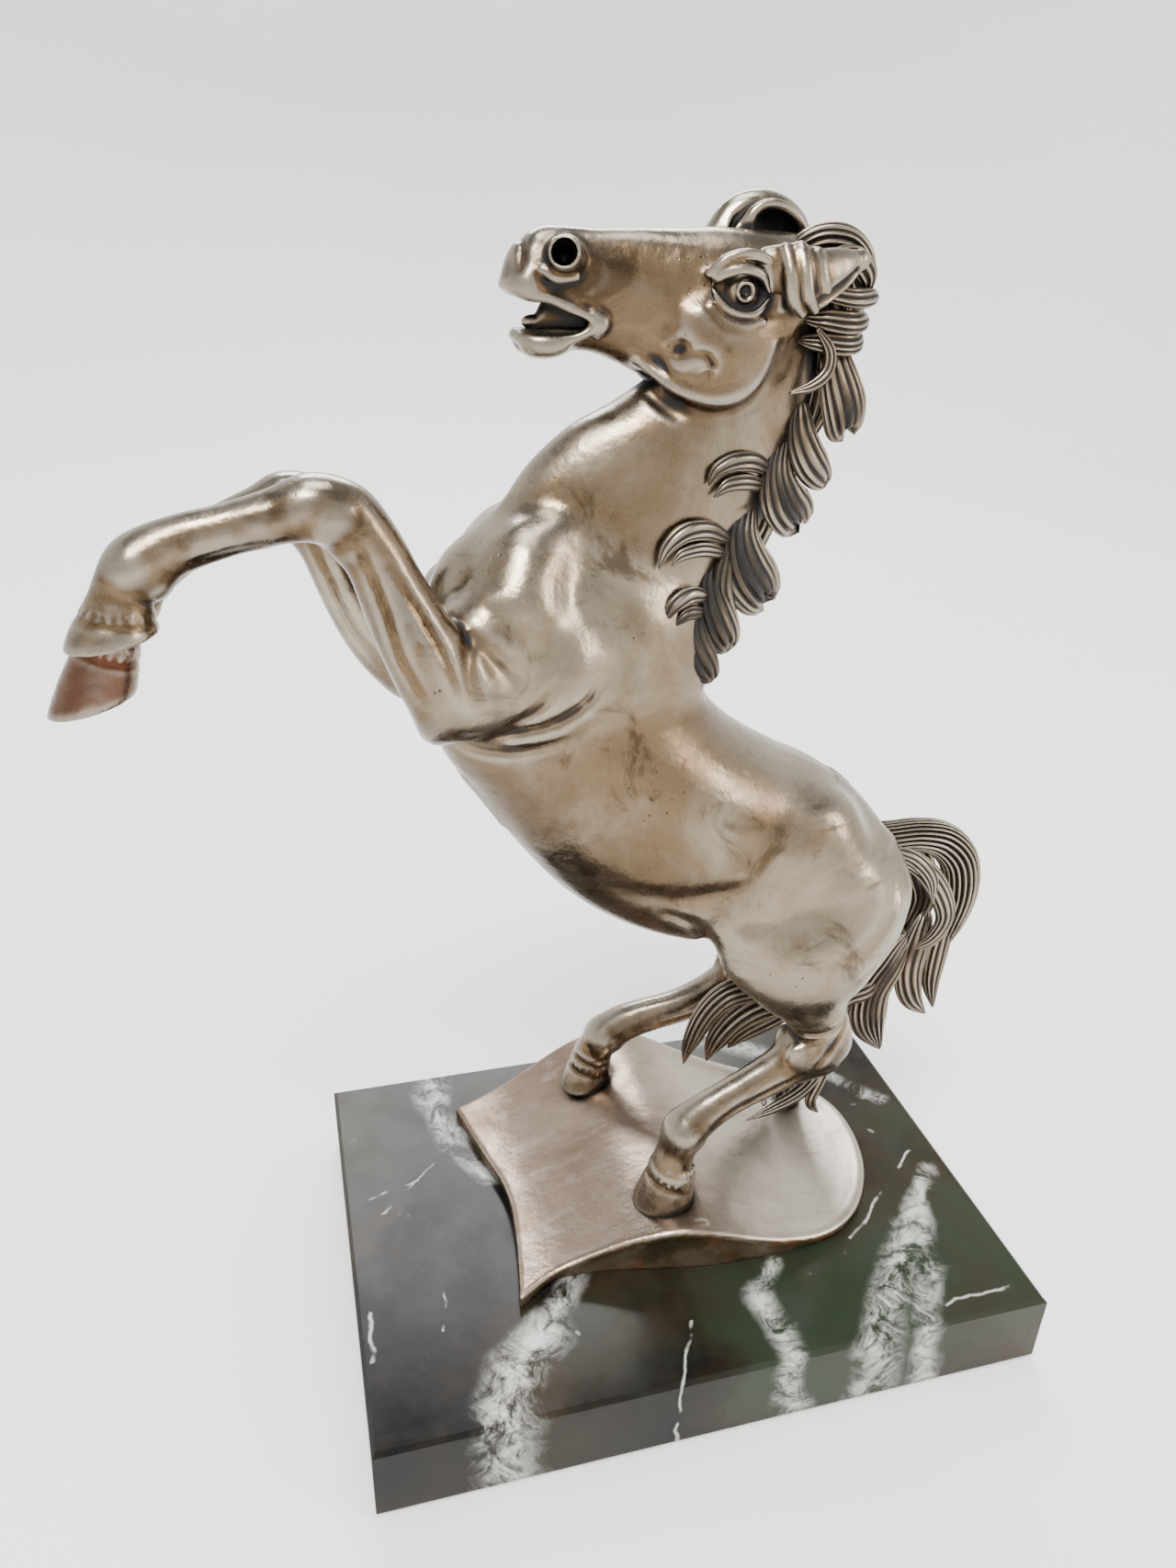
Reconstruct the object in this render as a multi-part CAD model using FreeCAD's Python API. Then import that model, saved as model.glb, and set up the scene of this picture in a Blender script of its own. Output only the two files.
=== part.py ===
import FreeCAD, Part
import math
import os
from FreeCAD import Vector

# Rearing horse statuette in silvered bronze on a black marble base, in millimetres.
#
# Frame: the origin is the centre of the flat underside, +Z is up, the horse faces -X and
# its tail is towards +X.  The horse's left side is at -Y and its right side at +Y.
#
# The bronze is made as a foundry makes it: sections are cast apart, pinned with dowels and
# brazed face to face, and locks of hair that couldn't be drawn from a mould with the neck
# are castings of their own.  The hind hooves are held to a cast ground plate by studs, and
# the plate is held to the marble by screws from below.

# ---------------------------------------------------------------- driving dimensions
BASE_LENGTH = 200.0          # along X
BASE_DEPTH = 140.0           # along Y
BASE_THICK = 24.0
BASE_BEVEL = 1.2             # broken edge round the marble's top
FELT_THICK = 1.5
FELT_INSET = 2.0             # felt stops this far inside the marble's sides
BASE_TOP = FELT_THICK + BASE_THICK

GROUND_RIM_Z = 29.0          # height of the ground plate's low edges
GROUND_ARCH = 14.5           # rise of its arch above those edges
GROUND_ARCH_X = -4.0         # where the arch is highest
GROUND_ARCH_WIDTH = 31.0
GROUND_BACK_RISE = 0.07      # the arch climbs this much per mm towards the back
GROUND_FRONT_Y = -36.0
GROUND_WALL = 4.0
HOLLOW_PLAN = [(-41, -26), (-24, -28), (-9, -31), (8, -33.5), (36, -33), (36, 40),
               (20, 45.5), (-5, 49), (-24, 49), (-41, 46)]    # the plate's hollow underside

SCREW_R = 2.5                # M5 base screws
SCREW_HEAD_R = 4.25
SCREW_HEAD_H = 5.0
SCREW_LENGTH = 21.5
SCREW_KEY_R = 2.3            # hexagon key, across corners
SCREW_SPOTS = [(-30.0, 8.0), (26.0, -14.0), (24.0, 27.0)]
MARBLE_HOLE_R = 3.0
COUNTERBORE_R = 8.0
COUNTERBORE_DEPTH = 9.0
WASHER_R = 7.0
WASHER_THICK = 1.2
BOSS_R = 6.0

STUD_R = 2.0                 # M4 studs that hold the hind hooves
STUD_LENGTH = 20.0
STUD_IN_HOOF = 7.0
NUT_R = 4.04                 # 7 mm across flats
NUT_H = 3.2
STUD_WASHER_R = 4.5
STUD_WASHER_THICK = 0.8
STUD_PAD_R = 6.0
STUD_PAD_DROP = 6.5          # flat pad this far below the plate's top
HOOF_SPOTS = [(-7.0, -20.0), (-15.5, 34.0)]

DOWEL_R = 2.0                # brazing dowels, all one size
DOWEL_LENGTH = 14.0

RING_POINTS = 16             # points round each lofted section
CUT_TOLERANCES = (0.0, 0.01, 0.03)   # for trimming one curved casting against another
CUT_ERROR = 0.02


# ---------------------------------------------------------------- helpers
def ring(x, z, y, deep, side, lean):
    """Points round an oval section: half height `deep` in the XZ plane along `lean` degrees
    from +X, half width `side` along Y.  The last point repeats the first."""
    cos_l, sin_l = math.cos(math.radians(lean)), math.sin(math.radians(lean))
    points = []
    for i in range(RING_POINTS):
        turn = 2.0 * math.pi * i / RING_POINTS
        along, across = deep * math.cos(turn), side * math.sin(turn)
        points.append(Vector(x + along * cos_l, y + across, z + along * sin_l))
    return points + points[:1]


def loft(stations):
    """Solid with one smooth skin through oval sections and a flat cap at each end.  Each
    station is (x, z, y, half depth, half width, lean)."""
    surface = Part.BSplineSurface()
    surface.interpolate([ring(*station) for station in stations])
    skin = surface.toShape()
    caps = [Part.Face(Part.Wire([edge])) for edge in skin.Edges if edge.isClosed()]
    shell = Part.Shell([skin] + caps)
    shell.sewShape()
    solid = Part.Solid(shell)
    if solid.Volume < 0:
        solid.reverse()
    return solid


def biggest(shape):
    """The largest solid of a boolean's result."""
    return max(shape.Solids, key=lambda solid: solid.Volume)


def trimmed(shape, *neighbours):
    """The shape cut back to meet its neighbours face to face.  A cut counts only when what
    it leaves and what it removes add up to the whole; otherwise a looser one is tried."""
    for neighbour in neighbours:
        if not shape.BoundBox.intersect(neighbour.BoundBox):
            continue
        for tolerance in CUT_TOLERANCES:
            removed = shape.common([neighbour], tolerance)
            left = shape.cut([neighbour], tolerance)
            error = abs(left.Volume + removed.Volume - shape.Volume) / shape.Volume
            if left.Solids and removed.Volume > 0 and error < CUT_ERROR:
                shape = biggest(left)
                break
    return shape


def cylinder(x, y, z_low, z_high, radius):
    return Part.makeCylinder(radius, z_high - z_low, Vector(x, y, z_low))


def hexagon(x, y, z_low, z_high, radius):
    corners = [Vector(x + radius * math.cos(math.radians(60 * i)),
                      y + radius * math.sin(math.radians(60 * i)), z_low) for i in range(7)]
    return Part.Face(Part.makePolygon(corners)).extrude(Vector(0, 0, z_high - z_low))


def save(node, shape):
    shape.exportStep("parts/" + node + ".step")
    box = shape.BoundBox
    print("%-20s solids %d valid %s volume %9.1f  x %6.1f %6.1f  y %6.1f %6.1f  z %6.1f %6.1f"
          % (node, len(shape.Solids), shape.isValid(), shape.Volume, box.XMin, box.XMax,
             box.YMin, box.YMax, box.ZMin, box.ZMax))


# ---------------------------------------------------------------- base
def marble_base():
    slab = Part.makeBox(BASE_LENGTH, BASE_DEPTH, BASE_THICK,
                        Vector(-BASE_LENGTH / 2, -BASE_DEPTH / 2, FELT_THICK))
    top_edges = [edge for edge in slab.Edges
                 if all(abs(v.Z - BASE_TOP) < 1e-6 for v in edge.Vertexes)]
    slab = slab.makeChamfer(BASE_BEVEL, top_edges)
    for x, y in SCREW_SPOTS:
        slab = slab.cut(cylinder(x, y, FELT_THICK, FELT_THICK + COUNTERBORE_DEPTH, COUNTERBORE_R))
        slab = slab.cut(cylinder(x, y, FELT_THICK, BASE_TOP, MARBLE_HOLE_R))
    return biggest(slab)


def felt_pad():
    return Part.makeBox(BASE_LENGTH - 2 * FELT_INSET, BASE_DEPTH - 2 * FELT_INSET, FELT_THICK,
                        Vector(FELT_INSET - BASE_LENGTH / 2, FELT_INSET - BASE_DEPTH / 2, 0))


def base_washers():
    top = FELT_THICK + COUNTERBORE_DEPTH
    return Part.Compound([
        cylinder(x, y, top - WASHER_THICK, top, WASHER_R).cut(
            cylinder(x, y, top - WASHER_THICK, top, MARBLE_HOLE_R)) for x, y in SCREW_SPOTS])


def base_screws():
    """Socket head screws, heads down in the marble's counterbores."""
    seat = FELT_THICK + COUNTERBORE_DEPTH - WASHER_THICK
    screws = []
    for x, y in SCREW_SPOTS:
        head = cylinder(x, y, seat - SCREW_HEAD_H, seat, SCREW_HEAD_R)
        socket = hexagon(x, y, seat - SCREW_HEAD_H, seat - SCREW_HEAD_H / 2, SCREW_KEY_R)
        shank = cylinder(x, y, seat, seat + SCREW_LENGTH, SCREW_R)
        screws.append(biggest(head.cut(socket).fuse(shank)))
    return Part.Compound(screws)


# ---------------------------------------------------------------- ground plate
def ground_height(x, y):
    """Top of the ground plate: an arch across X that climbs towards the back."""
    arch = math.exp(-((x - GROUND_ARCH_X) / GROUND_ARCH_WIDTH) ** 2)
    return GROUND_RIM_Z + arch * (GROUND_ARCH + GROUND_BACK_RISE * (y - GROUND_FRONT_Y))


def under_ground(drop):
    """Everything under the plate's top surface lowered by `drop`."""
    rows = [[Vector(x, y, ground_height(x, y) - drop) for y in range(-60, 81, 10)]
            for x in range(-90, 101, 10)]
    surface = Part.BSplineSurface()
    surface.interpolate(rows)
    return surface.toShape().extrude(Vector(0, 0, -60))


def ground_outline():
    """Plan of the plate: two sharp tips on the left, hollow edges, a round lobe right."""
    edges = [
        [(-59.5, 47), (-54.5, 25), (-50, 5), (-50.5, -13), (-54, -36)],
        [(-54, -36), (-41, -31), (-24, -32), (-9, -35), (8, -37.5), (27, -38), (44, -35.5),
         (58, -27.5), (68.5, -13), (73, 4), (71.5, 20), (62, 34), (44, 43.5), (20, 50),
         (-5, 53), (-24, 53.5), (-43, 51), (-59.5, 47)]]
    curves = []
    for places in edges:
        curve = Part.BSplineCurve()
        curve.interpolate([Vector(x, y, BASE_TOP) for x, y in places])
        curves.append(curve.toShape())
    return Part.Wire(curves)


def ground_casting():
    block = Part.Face(ground_outline()).extrude(Vector(0, 0, 60))
    plate = block.common(under_ground(0.0))
    corners = [Vector(x, y, BASE_TOP) for x, y in HOLLOW_PLAN + HOLLOW_PLAN[:1]]
    inner = Part.Face(Part.makePolygon(corners)).extrude(Vector(0, 0, 60))
    hollow = inner.common(under_ground(GROUND_WALL))
    for x, y in SCREW_SPOTS:
        hollow = hollow.cut(cylinder(x, y, BASE_TOP, BASE_TOP + 60, BOSS_R))
    for x, y in HOOF_SPOTS:
        pad = ground_height(x, y) - STUD_PAD_DROP
        hollow = hollow.cut(cylinder(x, y, pad, pad + 60, STUD_PAD_R))
    plate = biggest(plate.cut(hollow))
    screw_tip = FELT_THICK + COUNTERBORE_DEPTH - WASHER_THICK + SCREW_LENGTH
    for x, y in SCREW_SPOTS:
        plate = plate.cut(cylinder(x, y, BASE_TOP, screw_tip, SCREW_R))
    for x, y in HOOF_SPOTS:
        plate = plate.cut(cylinder(x, y, BASE_TOP, BASE_TOP + 60, STUD_R))
    return biggest(plate)


def hoof_studs():
    return Part.Compound([
        cylinder(x, y, ground_height(x, y) + STUD_IN_HOOF - STUD_LENGTH,
                 ground_height(x, y) + STUD_IN_HOOF, STUD_R) for x, y in HOOF_SPOTS])


def hoof_washers():
    rings = []
    for x, y in HOOF_SPOTS:
        pad = ground_height(x, y) - STUD_PAD_DROP
        disc = cylinder(x, y, pad - STUD_WASHER_THICK, pad, STUD_WASHER_R)
        rings.append(disc.cut(cylinder(x, y, pad - STUD_WASHER_THICK, pad, STUD_R)))
    return Part.Compound(rings)


def hoof_nuts():
    nuts = []
    for x, y in HOOF_SPOTS:
        top = ground_height(x, y) - STUD_PAD_DROP - STUD_WASHER_THICK
        nuts.append(hexagon(x, y, top - NUT_H, top, NUT_R).cut(
            cylinder(x, y, top - NUT_H, top, STUD_R)))
    return Part.Compound(nuts)


# ---------------------------------------------------------------- body
# stations: x, z, y, half depth, half width, lean of the depth direction
MOUTH_WEDGE = [(-65, 294.5), (-44, 293.5), (-30, 289), (-46, 287), (-65, 284)]    # x, z
NECK_ROOT = (-26, 231, 2, 32.5, 17, -27)
NECK_TOP = (2.5, 280, 2, 21.5, 10.5, 8)


def torso():
    return loft([
        (52, 116, 2, 8, 9, 15),
        (46, 124, 2, 21, 19, 16),
        (37, 136, 2, 31, 24.5, 20),
        (25, 145, 2, 35.5, 26.5, 27),
        (13.5, 152.5, 2, 38.5, 26.5, 26),
        (1.5, 161.5, 2, 39, 26.5, 24),
        (-11, 172, 2, 37.5, 26.5, 18),
        (-24, 185, 2, 35, 26, 13),
        (-33, 197, 2, 35, 25, 8),
        (-35.5, 209, 2, 37, 23.5, -6),
        (-32, 222, 2, 36, 20.5, -20),
        NECK_ROOT])


def neck():
    return loft([
        NECK_ROOT,
        (-21.5, 240, 2, 31, 14.5, -24),
        (-16, 249.5, 2, 30, 13, -21),
        (-8.5, 260.5, 2, 27.5, 12, -16),
        (-1.5, 270.5, 2, 24, 11, -6),
        NECK_TOP,
        (5, 288, 2, 18, 10, 20)])


def head():
    """Skull and muzzle, with the open mouth cut in from the front."""
    skull = loft([
        (-53, 299, 2, 4, 4, 82),
        (-50.5, 297.5, 2, 9.5, 7, 82),
        (-46, 297, 2, 12.5, 8, 84),
        (-38, 296.5, 2, 13, 7.5, 86),
        (-29, 296.5, 2, 12.5, 7.5, 88),
        (-18, 294, 2, 15.5, 9.5, 90),
        (-5, 291.5, 2, 18.5, 12, 92),
        (7, 291.5, 2, 18, 12.5, 88),
        (17, 295, 2, 14, 10.5, 78),
        (24, 299, 2, 7, 6, 70)])
    corners = [Vector(x, -30, z) for x, z in MOUTH_WEDGE + MOUTH_WEDGE[:1]]
    mouth = Part.Face(Part.makePolygon(corners)).extrude(Vector(0, 60, 0))
    return trimmed(skull, mouth)


def ear_right():
    """Upright rounded ear, its hollow turned to the left."""
    return loft([(6, 303, 7, 10, 4.5, 0), (6, 308, 8, 11, 4.5, 0), (6.5, 312, 8.5, 10, 4, 0),
                 (7, 315.5, 9, 7, 3, 0), (7.5, 317.8, 9.5, 3.2, 1.6, 0)])


def ear_left():
    """Ear folded back along the neck."""
    return loft([(6, 301, -9, 6, 3.5, 95), (13, 300, -11, 7, 4.2, 92),
                 (20, 299, -11, 6, 4, 88), (27, 298, -10, 3.6, 2.6, 84),
                 (32, 297.5, -9.5, 1.2, 1, 84)])


def forelock():
    return loft([(10, 304, 1, 6, 6, 110), (17, 308, 0, 7, 7, 90), (24, 307, -1, 7.5, 7.5, 60),
                 (29, 303, -2, 6, 6, 30), (31.5, 299, -2, 2.5, 2.5, 10)])


MANE_LOCKS = {
    "mane_lock_1": [(13, 299, -2, 5, 7, 40), (20, 293, -3, 7, 7.5, 30), (26, 286, -3, 6, 6.5, 10),
                    (30, 279, -3, 3, 3.5, 0)],
    "mane_lock_2": [(20, 284, -4, 5.5, 6, -10), (28, 279, -5, 6.5, 6, -15),
                    (32, 273, -5, 5, 4.5, -5), (30, 267, -5, 1.8, 1.8, 10)],
    "mane_lock_3": [(15, 273, -4, 7, 7, -25), (21, 265, -5, 7.5, 7, -10),
                    (25, 256, -5, 5.5, 5.5, 5), (23, 249, -5, 2, 2, 20)],
    "mane_lock_4": [(9, 258, -4, 7, 7.5, -25), (15, 249, -5, 8, 7.5, -10),
                    (19, 240, -5, 6.5, 6, 5), (18, 232, -5, 2.2, 2.2, 20)],
    "mane_lock_5": [(0, 243, -5, 7, 7.5, -30), (8, 235, -6, 8, 7.5, -15),
                    (12, 227, -6, 6, 5.5, 5), (11, 220, -6, 2, 2, 20)],
    "mane_lock_6": [(-6, 230, -6, 6, 7, -30), (0, 222, -7, 6.5, 6.5, -15),
                    (4, 215, -6, 4.5, 4.5, 0), (2.5, 209, -5, 1.5, 1.5, 15)],
    "neck_curl_1": [(10, 257, -9, 4.5, 4, 90), (4, 258, -11.5, 5, 4, 90),
                    (-1, 257.5, -12, 3.6, 3, 90), (-5, 256.5, -12, 1.2, 1.2, 90)],
    "neck_curl_2": [(0, 241, -12, 4.5, 4, 90), (-7, 242, -14, 4.8, 4, 90),
                    (-12, 241, -14.5, 3.2, 3, 90), (-16, 239, -14.5, 1.2, 1.2, 90)],
    "neck_curl_3": [(-5, 225, -15, 4, 4, 90), (-9, 226, -16.5, 4, 3.6, 90),
                    (-13, 226, -17, 2.6, 2.4, 90), (-16, 224.5, -17, 1, 1, 90)],
}


# ---------------------------------------------------------------- legs
def foreleg_left():
    return loft([
        (-46, 204, -8, 9, 7, 30),
        (-62, 208, -19, 13, 8.5, 40),
        (-69.5, 218, -21.5, 10.5, 8, 44),
        (-75, 228, -22, 9, 7, 44),
        (-79, 237, -21.5, 7.8, 6.5, 38),
        (-83, 247, -20.5, 7.2, 6.2, 34),
        (-89, 254.5, -20, 8, 6.5, 44),
        (-97, 256, -20, 7.2, 5.8, 66),
        (-110, 252.5, -20, 5.8, 4.8, 84),
        (-121, 249.8, -20, 6, 4.8, 96),
        (-129.5, 246, -20, 6.4, 6, 121),
        (-134, 240, -20, 6.3, 5.8, 146),
        (-137, 235, -20, 8, 7.4, 166),
        (-141, 225.5, -20, 9, 8.6, 174),
        (-142, 222.5, -20, 8.6, 8.2, 174)])


def foreleg_right():
    return loft([
        (-46, 203, 12, 9, 7, 30),
        (-64, 204, 22, 12, 8.5, 46),
        (-75, 211, 21.5, 10, 8, 50),
        (-82.5, 220.5, 20, 8.5, 7, 48),
        (-87.5, 231, 19, 7.4, 6.5, 38),
        (-91.5, 241, 18, 7.2, 6.2, 36),
        (-97.5, 248.5, 18, 7.8, 6.5, 48),
        (-106, 248, 18, 6.8, 5.6, 70),
        (-117, 242.5, 17, 5.8, 4.8, 92),
        (-127, 237, 16.5, 6, 5, 106),
        (-135, 231, 16, 6.4, 6, 124),
        (-139.5, 224, 15.5, 6.2, 5.8, 142),
        (-143, 218, 15, 8, 7.4, 156),
        (-148, 206, 15, 9.8, 8.8, 164),
        (-149, 203, 15, 9.4, 8.4, 164)])


def hind_leg_left():
    return loft([
        (34, 150, -10, 26, 10, 12),
        (34, 142, -15, 29.5, 13, 6),
        (32.5, 133, -18, 29, 14, 3),
        (30, 121, -20, 23, 12, -6),
        (32, 111, -20, 14.5, 9, -4),
        (38.5, 99, -20, 12, 7, -20),
        (36.5, 90, -20, 9.5, 6.2, -42),
        (26, 85, -20, 6.6, 5, -54),
        (14, 79, -20, 6, 4.8, -52),
        (5.5, 74, -20, 6.4, 5.2, -46),
        (-1.5, 68, -20, 6.4, 6, -36),
        (-4, 60, -20.5, 7.2, 6.6, -22),
        (-6.5, 50, -21, 9.4, 8.6, -16),
        (-8, 41, -21, 10.6, 9.4, -14),
        (-8.5, 36, -21, 10.6, 9.4, -14)])


def hind_leg_right():
    return loft([
        (34, 150, 14, 26, 10, 12),
        (33, 142, 19, 29, 13, 6),
        (31, 133, 22, 28, 13.5, 3),
        (29, 121, 24, 22, 11.5, -6),
        (31, 110, 25, 13.5, 8.5, -10),
        (37, 98, 26, 11.5, 6.8, -28),
        (34, 87, 26, 9, 6, -52),
        (22, 79, 27, 6.6, 5, -70),
        (9, 74, 28, 6, 4.8, -76),
        (-2, 71, 30.5, 6.2, 5.2, -64),
        (-10, 66, 32, 6.2, 5.6, -44),
        (-14, 58, 33, 6.6, 6.2, -18),
        (-16.5, 50, 34, 8, 7.4, -12),
        (-17.5, 43, 34, 8.8, 8, -12),
        (-18, 38, 34, 8.8, 8, -12)])


# ---------------------------------------------------------------- tail
TAIL_JOIN = (81, 108, 3, 11, 8, 10)


def tail_upper():
    return loft([(50, 143, 2, 7, 6, 80), (58, 147.5, 2, 6.5, 6, 84), (67, 149, 2, 7, 6, 84),
                 (76, 145.5, 2.5, 9.5, 7, 60), (83, 137, 3, 11.5, 8, 34),
                 (85.5, 127, 3, 12, 8.5, 12), (84, 117, 3, 11.5, 8.5, 4), TAIL_JOIN])


def tail_lower():
    """Main strand, down behind the hocks to the ground plate."""
    return loft([TAIL_JOIN, (76, 95, 4.5, 11, 8, 16), (69, 82, 6, 10.5, 8, 20),
                 (61, 67, 8, 9, 7.5, 20), (56, 52, 10, 7.5, 7, 14), (55, 38, 12, 7, 7, 6),
                 (55, 27, 12, 6, 6, 0)])


def tail_curl():
    """Side strand that sweeps forward between the hind legs."""
    return loft([(72, 92, 4, 6, 5, 60), (60, 88, 5, 7.5, 6, 76), (47, 85, 7, 9, 6.5, 88),
                 (34, 82, 9, 9.5, 6.5, 96), (23, 76, 11, 8.5, 6, 108), (14, 68, 13, 5.5, 5, 120),
                 (9, 61, 14, 2, 2, 128)])


# ---------------------------------------------------------------- dowels
# each joint: centre x, y, z and the dowel's direction
DOWEL_JOINTS = [
    ((-36, 2, 227), (0.45, 0, 0.89)),
    ((-12, 2, 238), (0.45, 0, 0.89)),
    ((4, 2, 283.5), (-0.1, 0, 1)),
    ((-55, -17, 204), (-0.75, -0.3, 0.5)),
    ((-56, 18, 201), (-0.85, 0.3, 0.3)),
    ((34, -19, 141), (0, 1, 0.3)),
    ((34, 23, 141), (0, -1, 0.3)),
    ((61, 2, 148), (1, 0, 0.1)),
]


def joint_dowels():
    pins = []
    for centre, direction in DOWEL_JOINTS:
        axis = Vector(*direction).normalize()
        start = Vector(*centre) - axis * (DOWEL_LENGTH / 2)
        pins.append(Part.makeCylinder(DOWEL_R, DOWEL_LENGTH, start, axis))
    return Part.Compound(pins)


# ---------------------------------------------------------------- assembly
def main():
    os.makedirs("parts", exist_ok=True)
    ground = under_ground(0.0)
    dowels = joint_dowels()
    studs = hoof_studs()
    trunk = torso()

    pieces = {"torso_casting": trunk}
    pieces["neck_casting"] = trimmed(neck(), trunk)
    pieces["head_casting"] = trimmed(head(), pieces["neck_casting"])
    bronze = [trunk, pieces["neck_casting"], pieces["head_casting"]]

    pieces["foreleg_left"] = trimmed(foreleg_left(), *bronze)
    pieces["foreleg_right"] = trimmed(foreleg_right(), *bronze)
    pieces["hind_leg_left"] = trimmed(hind_leg_left(), trunk, ground)
    pieces["hind_leg_right"] = trimmed(hind_leg_right(), trunk, ground, pieces["hind_leg_left"])
    hind = [pieces["hind_leg_left"], pieces["hind_leg_right"]]
    pieces["tail_upper"] = trimmed(tail_upper(), trunk, *hind)
    pieces["tail_lower"] = trimmed(tail_lower(), ground, pieces["tail_upper"], *hind)
    pieces["tail_curl"] = trimmed(tail_curl(), ground, pieces["tail_upper"],
                                  pieces["tail_lower"], *hind)

    pieces["ear_right"] = trimmed(ear_right(), pieces["head_casting"])
    pieces["ear_left"] = trimmed(ear_left(), pieces["head_casting"])
    hair = bronze + [pieces["ear_right"], pieces["ear_left"]]
    pieces["forelock"] = trimmed(forelock(), *hair)
    hair.append(pieces["forelock"])
    for node, stations in MANE_LOCKS.items():
        pieces[node] = trimmed(loft(stations), *hair)
        hair.append(pieces[node])

    for node in pieces:
        pieces[node] = trimmed(pieces[node], *dowels.Solids, *studs.Solids)
    pieces["joint_dowels"] = dowels
    pieces["hoof_studs"] = studs
    pieces["hoof_washers"] = hoof_washers()
    pieces["hoof_nuts"] = hoof_nuts()
    pieces["ground_casting"] = ground_casting()
    pieces["marble_base"] = marble_base()
    pieces["felt_pad"] = felt_pad()
    pieces["base_screws"] = base_screws()
    pieces["base_washers"] = base_washers()
    for node, shape in pieces.items():
        save(node, shape)


main()
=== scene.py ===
import math

import bpy
import numpy as np
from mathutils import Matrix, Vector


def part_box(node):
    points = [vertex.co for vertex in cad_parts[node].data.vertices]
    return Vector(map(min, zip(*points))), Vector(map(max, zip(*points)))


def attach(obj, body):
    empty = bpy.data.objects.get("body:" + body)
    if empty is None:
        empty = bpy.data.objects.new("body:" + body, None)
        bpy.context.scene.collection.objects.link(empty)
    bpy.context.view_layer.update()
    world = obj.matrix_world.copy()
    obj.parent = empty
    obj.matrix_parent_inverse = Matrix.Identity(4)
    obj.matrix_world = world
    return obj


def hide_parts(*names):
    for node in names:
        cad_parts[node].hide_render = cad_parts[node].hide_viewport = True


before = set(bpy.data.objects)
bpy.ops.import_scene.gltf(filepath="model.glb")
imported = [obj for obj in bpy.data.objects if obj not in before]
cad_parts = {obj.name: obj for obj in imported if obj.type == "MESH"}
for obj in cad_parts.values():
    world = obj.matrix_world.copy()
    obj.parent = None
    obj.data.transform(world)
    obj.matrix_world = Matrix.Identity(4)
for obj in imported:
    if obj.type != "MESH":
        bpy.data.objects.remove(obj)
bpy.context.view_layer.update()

import openvdb
from mathutils import Matrix, Vector

# Rearing horse statuette: silvered bronze castings on a black marble slab.
# The sculpting below works in millimetres, in the frame of the model: the horse faces -X,
# its left side is at -Y, +Z is up.  Meshes are scaled to metres when they are made.

MM = 0.001
BODY_STEP = 0.55       # grid of the clay that the body is made in
HEAD_STEP = 0.28
MIDDLE_Y = 2.0                                # the horse's plane of symmetry
SEAM_REACH = 1.5                              # how near to a seam its open edge lies
HOLLOW_REACH = 1.7                            # how far a hollow is judged over, in mm


# ------------------------------------------------------------------ small helpers
def mm_box(node):
    low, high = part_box(node)
    return np.array(low) / MM, np.array(high) / MM


def smooth_path(points, per_span):
    """Catmull-Rom samples through rows of numbers."""
    rows = np.array(points, float)
    ends = np.vstack([2 * rows[0] - rows[1], rows, 2 * rows[-1] - rows[-2]])
    out = []
    for i in range(len(rows) - 1):
        a, b, c, d = ends[i:i + 4]
        for t in np.arange(per_span) / per_span:
            out.append(0.5 * (2 * b + (c - a) * t + (2 * a - 5 * b + 4 * c - d) * t ** 2
                              + (3 * b - a - 3 * c + d) * t ** 3))
    out.append(rows[-1])
    return np.array(out)


def ground_height(x, y):
    """Top of the ground plate, as the casting has it: an arch that climbs to the back."""
    arch = np.exp(-((x + 4.0) / 31.0) ** 2)
    return 29.0 + arch * (14.5 + 0.07 * (y + 36.0))


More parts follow.
